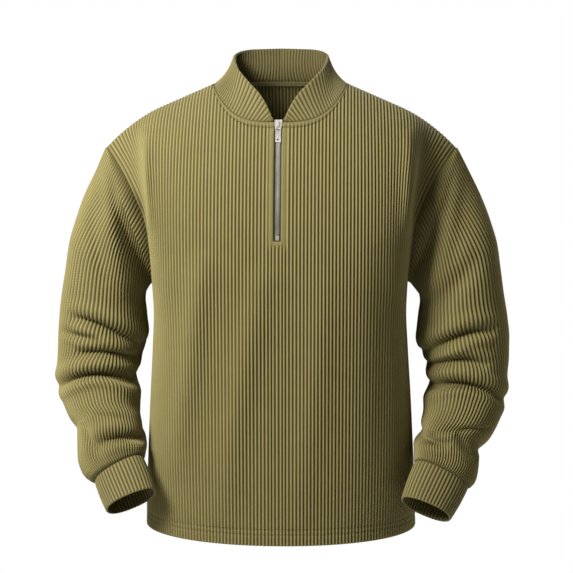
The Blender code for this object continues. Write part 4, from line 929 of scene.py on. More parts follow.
def make_panel(name, facing, halves, finish):
    """The front or the back, as one wall with all of its ribs."""
    half, half_normals, half_below = halves[facing]
    grid, normals = drape(both_sides(half), unit(both_sides(half_normals)), facing)
    below_edge = both_sides(half_below, 1)
    rows, columns = grid.shape[:2]
    offsets = np.arange(columns) - HALF_COLUMNS
    steps = np.abs(offsets)
    from_hem = np.full(rows, FAR)
    from_hem[:UNDERARM_ROW + 1] = low_heights() - HEM_FOOT_Z

    # the flat band along the neck
    on_neck = (steps <= NECK_COLUMN)[None, :]
    band = on_neck * (1 - ease(BAND_WIDE - BAND_FADE, BAND_WIDE, below_edge))
    edge_line = on_neck * bell(below_edge - BAND_WIDE, BAND_LINE, BAND_LINE_WIDTH)
    strength = 1 - (1 - BAND_RIBS) * band
    relief = BAND_RAISE * band - BAND_GROOVE * edge_line

    kept = None
    if facing < 0:
        left, raised = zip_bands(grid[..., 2], steps)
        strength *= left
        relief += raised
        kept = np.ones((rows - 1, columns - 1), bool)
        kept[UNDERARM_ROW + SLIT_ROWS:, HALF_COLUMNS - SLIT_COLUMN:HALF_COLUMNS + SLIT_COLUMN] = False

    # the turned hem and its sewing lines
    for line in HEM_LINES:
        relief -= HEM_GROOVE * bell(from_hem, line, HEM_LINE_WIDTH)[:, None]
    hem_out, hem_in = rim(from_hem, CLOTH, HEM_ROUND)
    strength *= ease(0, HEM_ROUND, from_hem)[:, None] * (1 - HEM_RIBS) + HEM_RIBS

    # the seams
    beside = (from_ends(columns) * RIB_STEP)[None, :]
    seams = np.maximum(bell(below_edge, 0, SEAM_ROUND), bell(beside, 0, SEAM_ROUND))
    strength *= 1 - seams
    relief -= SEAM_SINK * seams

    level = rib_wave(steps) * strength
    stretched = (steps > NECK_COLUMN)[None, :] * (1 - ease(0, SHOULDER_REACH, below_edge))
    rise = RIB_RISE * (1 - SHOULDER_FLAT * stretched)
    outer = grid + normals * (level * rise + relief + hem_out[:, None])[..., None]
    inner_level = -rib_wave(steps) * (strength if facing > 0 else strength * FRONT_INNER_RIBS)
    inner = grid - normals * (CLOTH - INNER_RIB * inner_level - hem_in[:, None])[..., None]
    # Painted shade: darker in the grooves, the seams and the line under the neck band, and in the grooves
    # inside.
    depth = painted_shade_depth(level, strength, seams) + BAND_SHADE * edge_line
    return wall(name, outer, inner, offsets / RIB_COLUMNS, lengths_along(grid), depth,
                painted_rib_shade(inner_level), finish, kept)


# ---- Walls ------------------------------------------------------------------------------------
# The four sides of a cell: where the neighbour there lies in a grid with a margin of one cell,
# and the first and second corner of that side.
CELL_SIDES = (((0, 1), (0, 1), (0, 0)), ((2, 1), (1, 0), (1, 1)),
              ((1, 0), (0, 0), (1, 0)), ((1, 2), (1, 1), (0, 1)))


def wall(name, outer, inner, across, along, depth, inner_depth, finish, kept=None, closed=False):
    """One closed wall between two grids, with a rim where the grid or its kept cells end.

    'across' counts ribs and 'along' is a length up each column: they are the texture's
    coordinates. 'depth' and 'inner_depth' set each point's painted shade by how deep in a groove it lies."""
    rows, columns = outer.shape[:2]
    spans = columns if closed else columns - 1
    if kept is None:
        kept = np.ones((rows - 1, spans), bool)
    around = np.zeros((rows + 1, spans + 2), bool)
    around[1:-1, 1:-1] = kept
    if closed:
        around[1:-1, 0] = kept[:, -1]
        around[1:-1, -1] = kept[:, 0]
        across = np.append(across, across[-1] + across[1] - across[0])

    row, column = np.nonzero(kept)
    loop = [(row, column), (row, column + 1), (row + 1, column + 1), (row + 1, column)]
    corners = [loop, loop[::-1]]
    sides = [(0, 0, 0, 0), (1, 1, 1, 1)]
    for shift, first, second in CELL_SIDES:
        beyond = around[shift[0]:shift[0] + rows - 1, shift[1]:shift[1] + spans]
        row, column = np.nonzero(kept & ~beyond)
        start = (row + first[0], column + first[1])
        stop = (row + second[0], column + second[1])
        corners.append([start, stop, stop, start])
        sides.append((0, 0, 1, 1))
    count = rows * columns
    faces, places = [], []
    for loop, side in zip(corners, sides):
        ids = [r * columns + c % columns + s * count for (r, c), s in zip(loop, side)]
        faces.append(np.stack(ids, axis=-1))
        places.append(np.stack([np.stack([across[c], along[r, c % columns]], axis=-1)
                                for r, c in loop], axis=1))
    points = np.concatenate([outer.reshape(-1, 3), inner.reshape(-1, 3)])
    depths = [np.broadcast_to(values, (rows, columns)).ravel() for values in (depth, inner_depth)]
    return mesh_object(name, points, np.concatenate(faces), finish, np.concatenate(places),
                       np.concatenate(depths))


def mesh_object(name, points, faces, finish, places=None, depths=None, smooth=True):
    """A mesh object from arrays of points and four-cornered faces, turned the right way out."""
    used, faces = np.unique(faces, return_inverse=True)
    faces = faces.reshape(-1, 4)
    points = points[used]
    corners = points[faces]
    volume = 0.0
    for a, b, c in ((0, 1, 2), (0, 2, 3)):
        volume += np.einsum("ij,ij->", corners[:, a], np.cross(corners[:, b], corners[:, c]))
    if volume < 0:
        faces = faces[:, ::-1]
        places = None if places is None else places[:, ::-1]
    data = bpy.data.meshes.new(name)
    data.vertices.add(len(points))
    data.vertices.foreach_set("co", points.astype(np.float32).ravel())
    data.loops.add(faces.size)
    data.loops.foreach_set("vertex_index", faces.astype(np.int32).ravel())
    data.polygons.add(len(faces))
    data.polygons.foreach_set("loop_start", np.arange(0, faces.size, 4, dtype=np.int32))
    data.update(calc_edges=True)
    if places is not None:
        layer = data.uv_layers.new(name="UVMap")
        layer.data.foreach_set("uv", places.astype(np.float32).ravel())
    # The 'groove' attribute carries each point's painted shade.
    if depths is not None:
        attribute = data.attributes.new("groove", "FLOAT", "POINT")
        attribute.data.foreach_set("value", depths[used].astype(np.float32))
    data.polygons.foreach_set("use_smooth", np.full(len(faces), smooth))
    data.update()
    data.validate()
    piece = bpy.data.objects.new(name, data)
    data.materials.append(finish)
    bpy.context.scene.collection.objects.link(piece)
    return piece


# ---- Sleeves and cuffs ------------------------------------------------------------------------
def sleeve_ring(seams):
    """The armhole as one loop of evenly spaced points from the tip, front side first, with its
    outward directions and the way that the sleeve leaves it."""
    front, back = (np.concatenate(seams[facing], axis=1) for facing in (-1, 1))
    loop = np.concatenate([front[::-1][:-1], back])
    loop = resample(loop, np.arange(SLEEVE_COLUMNS) / SLEEVE_COLUMNS)
    edge, outs = loop[:, :3], unit(loop[:, 3:])
    along = unit(np.roll(edge, -1, axis=0) - np.roll(edge, 1, axis=0))
    away = unit(np.cross(outs, along))
    if away[0] @ np.array([1.0, 0.0, -0.3]) < 0:
        away = -away
    return edge, outs, away


def crease_shift(points, creases, side_on):
    """How far each point moves out (+) or in (-) and how far it sags for a table of creases."""
    out = np.zeros(points.shape[:-1])
    sag = np.zeros(points.shape[:-1])
    t = np.linspace(0, 1, CREASE_PLACES)[:, None]
    for x0, z0, x1, z1, x2, z2, width, depth, roll in creases:
        start, stop = np.array([x0, z0]), np.array([x2, z2])
        bend = 2 * np.array([x1, z1]) - (start + stop) / 2
        path = (1 - t) ** 2 * start + 2 * t * (1 - t) * bend + t * t * stop
        slope = unit(np.gradient(path, axis=0))
        above = np.stack([-slope[:, 1], slope[:, 0]], axis=-1)
        above *= np.where(above[:, 1] < 0, -1.0, 1.0)[:, None]
        to_path = points[..., None, :][..., [0, 2]] - path
        nearest = np.argmin(np.sum(to_path ** 2, axis=-1), axis=-1)
        offset = np.take_along_axis(to_path, nearest[..., None, None], axis=-2)[..., 0, :]
        across = np.sum(offset * above[nearest], axis=-1)
        beyond = np.sum(offset * slope[nearest], axis=-1)
        length = np.sum(np.linalg.norm(np.diff(path, axis=0), axis=1))
        along = np.clip(nearest / (CREASE_PLACES - 1) + beyond / length, 0, 1)
        taper = np.sin(math.pi * along) ** CREASE_TAPER
        span = width
        if roll > 0:
            span = np.where(across > 0, CREASE_OVER, CREASE_UNDER) * width
        upper = bell(across, UPPER_ROLL_AT * width, width)
        lower = bell(across, LOWER_ROLL_AT * width, LOWER_ROLL_WIDTH * width)
        out += taper * (roll * upper + LOWER_ROLL_PART * roll * lower - depth * bell(across, 0, span))
        sag += taper * roll * bell(across, SAG_AT * width, width)
    return out * side_on, sag * side_on


def fold_sleeve(grid, normals, places, creases):
    """Presses the creases into the sleeve, seen from the front, and similar ones behind."""
    ends = ease(0, CREASE_START, places)[:, None] * ease(0, 1.0, places[-1] - places)[:, None]
    facing = normals[..., 1]
    soft, sharp = creases[:SOFT_CREASES], creases[SOFT_CREASES:]
    folded = grid.copy()
    folded[..., 1] -= crease_shift(grid, soft, ends * ease(*SOFT_FACING, -facing))[0]
    behind = grid - [0, 0, BACK_FOLD_DROP]
    for points, side_on in ((grid, ends * ease(*SHARP_FACING, -facing)),
                            (behind, BACK_FOLD_DEPTH * ends * ease(*BEHIND_FACING, facing))):
        out, sag = crease_shift(points, sharp, side_on)
        folded += normals * out[..., None]
        folded[..., 2] -= sag
    return folded


def slide_ribs(grid, slide):
    """Slides each ring's points round it by 'slide' columns towards the underarm, most at its
    front and back, so that the ribs leave the armhole at a slant."""
    count = grid.shape[1]
    columns = np.arange(count)
    slid = []
    for ring, shift in zip(grid, slide):
        places = (columns + shift * np.sin(2 * math.pi * columns / count)) % count
        slid.append(read_rows(places, np.arange(count + 1), np.concatenate([ring, ring[:1]])))
    return np.array(slid)


def sleeve_places(table):
    """Where the sleeve's rings lie along its table, closest together in the creased forearm."""
    dense = np.linspace(0, table[-1, 0], 400)
    share = ease(*CREASED_FROM, dense) * (1 - ease(*CREASED_TO, dense))
    pace = np.cumsum(1 + CREASED_EXTRA * share)
    pace = (pace - pace[0]) / (pace[-1] - pace[0])
    places = np.interp(np.linspace(0, 1, SLEEVE_ROWS + 1 - len(SEAM_PLACES)), pace, dense)
    first = np.array(SEAM_PLACES)
    return np.concatenate([first, first[-1] + places[1:] * (dense[-1] - first[-1]) / dense[-1]])


def make_sleeve(name, side, table, creases, seams, finish):
    """One sleeve; side is +1 for the wearer's left."""
    edge, outs, away = sleeve_ring(seams)
    places = sleeve_places(table)
    grid = sleeve_rings(table, edge + away * SEAM_GAP, places)
    slide = smooth_rows(RIB_SLIDES, lengths_along(grid).mean(axis=1))[:, 1]
    grid = slide_ribs(grid, slide)
    outs = unit(slide_ribs(outs[None], slide)[0])
    grid = fold_sleeve(grid, grid_normals(grid, (1, 0, 0), closed=True), places, creases)
    normals = grid_normals(grid, (1, 0, 0), closed=True)
    lengths = lengths_along(grid)
    from_cuff = lengths[-1] - lengths
    last_out = unit(grid[-1] - ring_frame(table[-1, 1:])[0])
    normals = turned(normals, outs, (1 - ease(0, NECK_TURN, lengths))[..., None])
    normals = turned(normals, last_out, (1 - ease(0, CUFF_TURN, from_cuff))[..., None])

    seams_at = np.maximum(bell(lengths, 0, SEAM_ROUND), bell(from_cuff, 0, SEAM_ROUND))
    columns = np.arange(SLEEVE_COLUMNS)
    strength = 1 - seams_at
    level = rib_wave(columns) * strength
    outer = grid + normals * (level * RIB_RISE - SEAM_SINK * seams_at)[..., None]
    inner = grid - normals * CLOTH
    flip = [side, 1, 1]
    # Painted shade in the grooves and seams outside, and all over the inside.
    return wall(name, outer * flip, inner * flip, columns / RIB_COLUMNS, lengths,
                painted_shade_depth(level, strength, seams_at), SLEEVE_INNER_SHADE, finish, closed=True)


def make_cuff(name, side, table, end, finish):
    """The ribbed cuff that carries on from the sleeve's last ring."""
    start = table[-1, 1:]
    columns = np.arange(CUFF_COLUMNS)
    parts = np.array(CUFF_PLACES)
    grid = np.array([ellipse_ring(start * (1 - part) + end * part, CUFF_COLUMNS) for part in parts])
    grid[0] += unit(ring_frame(end)[0] - ring_frame(start)[0]) * SEAM_GAP
    normals = unit(grid - grid.mean(axis=1)[:, None])
    lengths = lengths_along(grid)
    from_end = lengths[-1] - lengths
    swell = CUFF_SWELL * np.sin(math.pi * parts)[:, None]
    seam = bell(lengths, 0, SEAM_ROUND)
    rim_out, rim_in = rim(from_end, CUFF_CLOTH, CUFF_ROUND)
    wave = rib_wave(columns, CUFF_RIB_COLUMNS)
    strength = (1 - seam) * (CUFF_EDGE_RIBS + (1 - CUFF_EDGE_RIBS) * ease(0, CUFF_EDGE, from_end))
    level = wave * strength
    outer = grid + normals * (level * CUFF_RIB_RISE + swell + rim_out - SEAM_SINK * seam)[..., None]
    inner = grid - normals * (CUFF_CLOTH - swell - rim_in + INNER_RIB * level)[..., None]
    flip = [side, 1, 1]
    # Painted shade in the grooves and at the seam, and in the grooves inside.
    return wall(name, outer * flip, inner * flip, columns / CUFF_RIB_COLUMNS, lengths,
                painted_shade_depth(level, strength, seam), painted_rib_shade(-wave), finish, closed=True)


# ---- Collar -----------------------------------------------------------------------------------
def make_collar(points, outs, finish):
    """The stand collar, ribbed on both sides, tapering to nothing at the foot of the V."""
    half_columns = COLLAR_FINE_RIBS * RIB_COLUMNS
    shares = np.linspace(0, 1, half_columns + 1)
    seam = resample(np.concatenate([points, outs], axis=1), shares)
    base, base_normals = seam[:, :3], unit(seam[:, 3:])
    base[-1, 0] = 0
    base_normals[-1, 0] = 0
    edge = smooth_rows(COLLAR_EDGE, shares)[:, 1:]
    inward = unit(-base * [1, 1, 0])
    up = np.array(COLLAR_PLACES)
    rows = []
    for part in up:
        tuck = COLLAR_TUCK * np.sin(math.pi * part ** TUCK_POWER) * ease(*TUCK_SHARES, shares)
        rows.append(base + (edge - base) * part + inward * tuck[:, None])
    half = np.array(rows)
    away = unit(np.cross(np.gradient(base, axis=0), base_normals))
    half[0] += away * np.sign(np.sum(away * (half[1] - half[0]), axis=1))[:, None] * SEAM_GAP

    grid = both_sides(half[:, ::-1])
    foot = both_sides(base_normals[None, ::-1])[0]
    height = both_sides(np.linalg.norm(edge - base, axis=1)[None, ::-1], 1)[0]
    columns = grid.shape[1]
    from_seam = up[:, None] * height
    from_top = (1 - up)[:, None] * height
    from_tip = from_ends(columns) / half_columns
    normals = turned(grid_normals(grid, (0, 1, 0)), foot, (1 - ease(0, NECK_TURN, from_seam))[..., None])

    seam_at = bell(from_seam, 0, SEAM_ROUND)
    from_edge = np.minimum(from_top, (from_tip * TIP_SLOPE)[None, :] + TIP_LEAST)
    rim_out, rim_in = rim(from_edge, COLLAR_FOLD, COLLAR_ROUND)
    steps = np.arange(columns) - half_columns
    wave = rib_wave(steps)
    strength = (1 - seam_at) * (COLLAR_RIM_RIBS + (1 - COLLAR_RIM_RIBS) * ease(0, COLLAR_RIM, from_top))
    level = wave * strength
    outer = grid + normals * (level * COLLAR_RIB_RISE + rim_out - SEAM_SINK * seam_at)[..., None]
    cloth = COLLAR_CLOTH + (COLLAR_FOLD - COLLAR_CLOTH) * ease(0, FULL_FOLD, up)[:, None]
    inner = grid - normals * (cloth - rim_in + COLLAR_RIB_RISE * level)[..., None]
    # Painted shade: the collar's inside is darker all over, most in its grooves.
    inner_depth = COLLAR_INNER_SHADE + (1 - COLLAR_INNER_SHADE) * painted_rib_shade(-wave)
    return wall("ribbed_collar", outer, inner, steps / RIB_COLUMNS, lengths_along(grid),
                painted_shade_depth(level, strength, seam_at), inner_depth, finish)


# ---- Zip --------------------------------------------------------------------------------------
def zip_spine(halves):
    """The front's centre line beside the slit: points and outward directions, from below."""
    line, out = (part[UNDERARM_ROW:, SLIT_COLUMN].copy() for part in halves[-1][:2])
    line[:, 0] = 0
    out[:, 0] = 0
    return line, unit(out)


def zip_place(spine, height):
    """Point on the zip's centre line at one height, and the axes across, up and outward there."""
    line, out = spine
    point = read_rows(height, line[:, 2], line)
    outward = unit(read_rows(height, line[:, 2], out))
    upward = unit(np.cross([1.0, 0.0, 0.0], -outward))
    upward = upward if upward[2] > 0 else -upward
    return point, np.array([[1.0, 0.0, 0.0], upward, outward])


def joined(name, pieces, finish, smooth=False):
    """One mesh object from many small closed forms, each (points, four-cornered faces)."""
    points, faces, start = [], [], 0
    for form_points, form_faces in pieces:
        points.append(form_points)
        faces.append(np.asarray(form_faces) + start)
        start += len(form_points)
    return mesh_object(name, np.concatenate(points), np.concatenate(faces), finish, smooth=smooth)


def between_rings(first, second, count):
    """Faces between two rings of 'count' points, each given by the number of its first point."""
    return [(first + corner, first + (corner + 1) % count, second + (corner + 1) % count, second + corner)
            for corner in range(count)]


def stacked(rings):
    """The points of flat rings, each with its own place outward."""
    return np.concatenate([np.column_stack([ring, np.full(len(ring), out)]) for ring, out in rings])


def drawn_out(outline, distance):
    """An outline made larger by a distance at its furthest points, or smaller below zero."""
    middle = outline.mean(axis=0)
    return middle + (outline - middle) * (1 + distance / np.abs(outline - middle).max(axis=0))


def tooth_form():
    """One tooth of the right-hand tape in (across, up, outward), with a bevelled face."""
    outline = [(0.0034, -0.00062), (0.0008, -0.00062), (-0.0006, -0.00036),
               (-0.0006, 0.00036), (0.0008, 0.00062), (0.0034, 0.00062)]
    middle_x, narrower, lower = 0.0014, 0.86, 0.72
    face = [(middle_x + (x - middle_x) * narrower, z * lower) for x, z in outline]
    points = stacked([(outline, -0.0022), (outline, -0.0004), (face, 0.0)])
    faces = between_rings(0, 6, 6) + between_rings(6, 12, 6)
    faces += [(0, 5, 4, 1), (1, 4, 3, 2), (12, 13, 16, 17), (13, 14, 15, 16)]
    return points, np.array(faces)


def make_teeth(spine, finish):
    """The closed chain: teeth from the left and right tapes by turns."""
    points, faces = tooth_form()
    pieces = []
    count = int((ZIP_TOP_Z - ZIP_END_Z - TEETH_SPARE) / TOOTH_PITCH)
    for index in range(2 * count):
        side = 1 if index % 2 else -1
        point, axes = zip_place(spine, ZIP_END_Z + TOOTH_FIRST + index * TOOTH_PITCH / 2)
        placed = point + axes[2] * ZIP_FRONT + (points * [side, 1, 1]) @ axes
        pieces.append((placed, faces if side > 0 else faces[:, ::-1]))
    return joined("zip_teeth", pieces, finish)


def rounded(half_foot, half_top, foot, top, radius, steps=4):
    """A four-sided outline with round corners, starting and ending at the foot's middle."""
    corners = [(half_foot, foot, -90), (half_top, top, 0), (-half_top, top, 90), (-half_foot, foot, 180)]
    outline = []
    for x, z, start in corners:
        centre = (x - math.copysign(radius, x), z + (radius if z == foot else -radius))
        for step in range(steps + 1):
            turn = math.radians(start + 90 * step / steps)
            outline.append((centre[0] + radius * math.cos(turn), centre[1] + radius * math.sin(turn)))
    return np.array(outline)


def plate(outline, low, high, bevel, origin, axes):
    """A plate with a bevelled face: an even-sided outline in (across, up), from 'low' to 'high'."""
    count = len(outline)
    points = stacked([(outline, low), (outline, high - bevel), (drawn_out(outline, -bevel), high)])
    faces = between_rings(0, count, count) + between_rings(count, 2 * count, count)
    for start, turn in ((0, -1), (2 * count, 1)):
        for step in range(count // 2 - 1):
            near, far = start + step, start + count - 1 - step
            faces.append((near, near + 1, far - 1, far)[::turn])
    return origin + points @ axes, np.array(faces)


def ring_plate(outline, hole, low, high, bevel, origin, axes):
    """A plate with a hole: two outlines with the same number of corners."""
    small, wide = drawn_out(outline, -bevel), drawn_out(hole, bevel)
    rings = [(hole, low), (outline, low), (outline, high - bevel), (small, high), (wide, high),
             (hole, high - bevel)]
    count = len(outline)
    faces = []
    for ring in range(len(rings)):
        faces += between_rings(ring * count, (ring + 1) % len(rings) * count, count)
    return origin + stacked(rings) @ axes, np.array(faces)


def arch(reach, low, high):
    """One side of the bridge's bar in (up, outward), from its upper end over to the lower."""
    curve = []
    for step in range(ARCH_STEPS + 1):
        turn = math.pi * step / ARCH_STEPS
        curve.append((-math.cos(turn) * reach, low + (high - low) * math.sin(turn) ** ARCH_POWER))
    return curve


def bridge_form(face, origin, axes):
    """The bridge that holds the pull tab, as a bent bar on the slider's face."""
    low, inside = face - ARCH_SINK, face + BRIDGE_CLEAR
    curves = arch(BRIDGE_REACH, low, inside + BRIDGE_BAR) + arch(BRIDGE_REACH - BRIDGE_BAR, low, inside)
    points = [(sign * BRIDGE_HALF, up, out) for sign in (-1, 1) for up, out in curves]
    turn, other = ARCH_STEPS + 1, len(curves)
    faces = []
    for a in range(ARCH_STEPS):
        b, c, d = a + 1, turn + a + 1, turn + a
        faces += [(a, b, c, d), (other + d, other + c, other + b, other + a)]
        faces += [(b, a, other + a, other + b), (d, c, other + c, other + d)]
    faces += [(0, turn, other + turn, other), (other - 1, turn - 1, other + turn - 1, 2 * other - 1)]
    return origin + np.array(points) @ axes, np.array(faces)


def make_slider(spine, finish):
    """Slider: two plates joined by a neck, with a bridge for the tab."""
    origin, axes = zip_place(spine, SLIDER_Z)
    half = SLIDER_LENGTH / 2
    under = ZIP_FRONT + PLATE_LIFT
    face = under + PLATE_THICK
    back = ZIP_FRONT - ZIP_THICK - BACK_LIFT
    # Columns: half width at the foot and at the top, foot, top, corner radius, low, high, bevel.
    plates = (
        (SLIDER_HALF_FOOT, SLIDER_HALF_TOP, -half, half, 0.0016, under, face, 0.0004),
        (CLAMP_HALF, CLAMP_HALF, -half, half, 0.0012, back - PLATE_THICK, back, 0.0003),
        (CLAMP_HALF, CLAMP_HALF, half - WEDGE_LENGTH, half - 0.0006, 0.0009, back - 0.0002,
         under + 0.0002, 0.0001),
    )
    forms = [plate(rounded(*row[:5]), *row[5:], origin, axes) for row in plates]
    forms.append(bridge_form(face, origin, axes))
    return joined("slider", forms, finish)


def make_tab(spine, finish):
    """Pull tab: an eye round the bridge, a plate with a raised edge and a slot at its foot."""
    origin, axes = zip_place(spine, SLIDER_Z)
    hinge = ZIP_FRONT + PLATE_LIFT + PLATE_THICK + BRIDGE_CLEAR / 2
    pivot = origin + axes[2] * hinge - axes[1] * TAB_DROP
    half = TAB_THICK / 2
    head = rounded(TAB_HALF, TAB_HALF - 0.0004, -TAB_EYE_FOOT - 0.0018, TAB_BAR, 0.0012)
    eye = rounded(TAB_EYE_HALF, TAB_EYE_HALF - 0.0003, -TAB_EYE_FOOT, -TAB_BAR, 0.0006)
    body = rounded(TAB_HALF, TAB_HALF, -TAB_LENGTH, -TAB_EYE_FOOT - 0.0008, 0.0010)
    slot = rounded(TAB_SLOT_HALF, TAB_SLOT_HALF, -TAB_SLOT_FOOT, -TAB_SLOT_TOP, 0.0006)
    forms = [ring_plate(head, eye, -half, half, 0.00025, pivot, axes),
             ring_plate(body, slot, -half, half + 0.0002, 0.0003, pivot, axes)]
    return joined("tab", forms, finish)


def make_stop(spine, finish):
    """The bottom stop, one bevelled block across both tapes."""
    point, axes = zip_place(spine, (STOP_TOP_Z + STOP_FOOT_Z) / 2)
    half = (STOP_TOP_Z - STOP_FOOT_Z) / 2
    outline = rounded(STOP_HALF, STOP_HALF, -half, half, 0.0008)
    front = ZIP_FRONT + SEAM_GAP
    block = plate(outline, front - ZIP_THICK - 2 * SEAM_GAP, front, 0.0005, point, axes)
    return joined("stop", [block], finish)


# ---- Sewing -----------------------------------------------------------------------------------
def stitch_form(line, out):
    """One stitch round four points and their outward directions: a short tube with tapered ends."""
    turns = np.linspace(0, 2 * math.pi, STITCH_CORNERS + 1)[:-1]
    side = unit(np.cross(out, unit(line[-1] - line[0])))
    radius = STITCH_RADIUS * STITCH_SWELL
    lift = STITCH_RADIUS * STITCH_LIFT
    ring = np.cos(turns)[None, :, None] * side[:, None] + np.sin(turns)[None, :, None] * out[:, None]
    tube = line[:, None] + out[:, None] * lift[:, None, None] + ring * radius[:, None, None]
    faces = []
    for row in range(len(line) - 1):
        start = row * STITCH_CORNERS
        faces += between_rings(start, start + STITCH_CORNERS, STITCH_CORNERS)
    faces += [(0, 3, 2, 1), (0, 5, 4, 3), (18, 19, 20, 21), (18, 21, 22, 23)]
    return tube.reshape(-1, 3), np.array(faces)


def make_sewing(name, lines, finish):
    """Rows of stitches: each line is (points, outward directions), already on the cloth's face."""
    forms = []
    for points, outs in lines:
        along = lengths_along(points)
        count = int(along[-1] / STITCH_PITCH)
        for index in range(count):
            middle = (index + 0.5) * along[-1] / count
            ends = middle + STITCH_PLACES * STITCH_LENGTH
            forms.append(stitch_form(read_rows(ends, along, points), unit(read_rows(ends, along, outs))))
    return joined(name, forms, finish, smooth=True)


def hem_lines(halves):
    """The two rows of sewing round the hem, front and back."""
    lines = []
    for facing in (-1, 1):
        whole, outs = (both_sides(part) for part in halves[facing][:2])
        for line in HEM_LINES:
            row = HEM_ROWS.index(line)
            sunk = outs[row, ::2] * HEM_GROOVE * HEM_STITCH_SINK
            lines.append((whole[row, ::2] - sunk, unit(outs[row, ::2])))
    return lines


def on_both_sides(line, outs):
    """A line of one half with its directions, for the wearer's right and left."""
    return [(line * [side, 1, 1], outs * [side, 1, 1]) for side in (-1, 1)]


def neck_band_lines(halves):
    """The row of sewing along the foot of the neck band."""
    lines = []
    for facing in (-1, 1):
        grid, normals = halves[facing][:2]
        row = len(grid) - len(BAND_DISTANCES) + 2
        columns = slice(BAND_COLUMN if facing < 0 else 0, NECK_COLUMN + 1)
        line, outs = grid[row, columns], normals[row, columns]
        lines += on_both_sides(line + outs * BAND_RAISE * BAND_STITCH_RISE, outs)
    return lines


def zip_lines(halves):
    """The row of sewing on each side of the zip."""
    grid, normals = halves[-1][:2]
    rows = slice(UNDERARM_ROW + SLIT_ROWS - 2, len(grid) - len(BAND_DISTANCES))
    outs = normals[rows, SLIT_COLUMN + 2]
    return on_both_sides(grid[rows, SLIT_COLUMN + 2] + outs * PLACKET_RAISE, outs)


# ---- Materials --------------------------------------------------------------------------------
class Nodes:
    """Short ways to add and link the nodes of a material or of the world."""

    def __init__(self, owner, shader="Principled BSDF"):
        owner.use_nodes = True
        self.owner = owner
        self.tree = owner.node_tree
        self.shader = self.tree.nodes[shader]

    def add(self, kind, **settings):
        """A new node with its settings."""
        node = self.tree.nodes.new(kind)
        for key, value in settings.items():
            setattr(node, key, value)
        return node

    def put(self, socket, value):
        """Links a socket to another one, or gives it a plain value."""
        if isinstance(value, bpy.types.NodeSocket):
            self.tree.links.new(value, socket)
        else:
            socket.default_value = value

    def fill(self, node, values):
        """Puts values or links into a node's inputs, by name or number."""
        for name, value in values.items():
            self.put(node.inputs[name], value)

    def coordinate(self, kind):
        """One kind of texture coordinate."""
        return self.add("ShaderNodeTexCoord").outputs[kind]

    def split(self, vector):
        """The three parts of a vector."""
        node = self.add("ShaderNodeSeparateXYZ")
        self.put(node.inputs[0], vector)
        return node.outputs

    def math(self, operation, first, second=0.0):
        """One step of arithmetic."""
        node = self.add("ShaderNodeMath", operation=operation)
        self.fill(node, {0: first, 1: second})
        return node.outputs[0]

    def scaled(self, value, factor, start):
        """A value times a factor, on top of a start."""
        return self.math("ADD", self.math("MULTIPLY", value, factor), start)

    def mix(self, factor, first, second, blend="MIX"):
        """Two colours mixed."""
        node = self.add("ShaderNodeMix", data_type="RGBA", blend_type=blend)
        self.fill(node, {0: factor, 6: first, 7: second})
        return node.outputs[2]

    def noise(self, vector, scale, detail=2.0, roughness=0.5):
        """Cloudy noise from 0 to 1."""
        node = self.add("ShaderNodeTexNoise")
        self.fill(node, {"Vector": vector, "Scale": scale, "Detail": detail, "Roughness": roughness})
        return node.outputs["Fac"]

    def bump(self, height, distance, strength=1.0):
        """A surface direction that follows a height."""
        node = self.add("ShaderNodeBump")
        self.fill(node, {"Distance": distance, "Strength": strength, "Height": height})
        return node


def shaded(colour, factor):
    """A colour made darker or lighter by a factor."""
    return tuple(min(part * factor, 1.0) for part in colour[:3]) + (1.0,)


def knit_material(name, crown, groove, stitch):
    """Ribbed knit: two leaning legs of yarn a stitch on each rib, painted shade in the grooves, mottled
    wool.
    """
    nodes = Nodes(bpy.data.materials.new(name))
    across, along = nodes.split(nodes.coordinate("UV"))[:2]
    place = nodes.coordinate("Object")

    wander = nodes.noise(place, WANDER_SCALE)
    rib_part = nodes.math("FRACT", nodes.math("ADD", across, 0.5))
    from_crown = nodes.math("ABSOLUTE", nodes.math("SUBTRACT", rib_part, 0.5))
    leaning = nodes.math("ADD", nodes.math("DIVIDE", along, stitch),
                         nodes.math("MULTIPLY", from_crown, LEG_LEAN))
    shaken = nodes.math("ADD", leaning, nodes.math("MULTIPLY", wander, LEG_WANDER))
    leg = nodes.scaled(nodes.math("SINE", nodes.math("MULTIPLY", shaken, 2 * math.pi)), 0.5, 0.5)

    # Painted shade: the 'groove' attribute mixes the crown colour towards the dark groove colour.
    depth = nodes.add("ShaderNodeAttribute", attribute_name="groove").outputs["Fac"]
    deep = nodes.math("MINIMUM", nodes.math("MAXIMUM", depth, 0.0), 1.0)
    fibres = nodes.noise(place, FIBRE_SCALE, 2.0, 0.6)
    shade = nodes.scaled(nodes.noise(place, PATCH_SCALE, 3.0), *PATCH_SHADES)
    shade = nodes.math("MULTIPLY", shade, nodes.scaled(leg, *LEG_SHADES))
    shade = nodes.math("MULTIPLY", shade, nodes.scaled(fibres, *FIBRE_SHADES))
    grey = nodes.add("ShaderNodeCombineColor")
    nodes.fill(grey, {0: shade, 1: shade, 2: shade})
    coarse = nodes.bump(leg, 0.0006, 0.6)
    fine = nodes.bump(fibres, 0.0003, 0.35)
    nodes.put(fine.inputs["Normal"], coarse.outputs["Normal"])
    nodes.fill(nodes.shader, {
        "Base Color": nodes.mix(1.0, nodes.mix(deep, crown, groove), grey.outputs[0], "MULTIPLY"),
        "Roughness": 0.75,
        "Specular IOR Level": 0.22,
        "Sheen Weight": 0.04,
        "Sheen Roughness": 0.6,
        "Sheen Tint": (0.80, 0.76, 0.55, 1.0),
        "Normal": fine.outputs["Normal"],
    })
    return nodes.owner


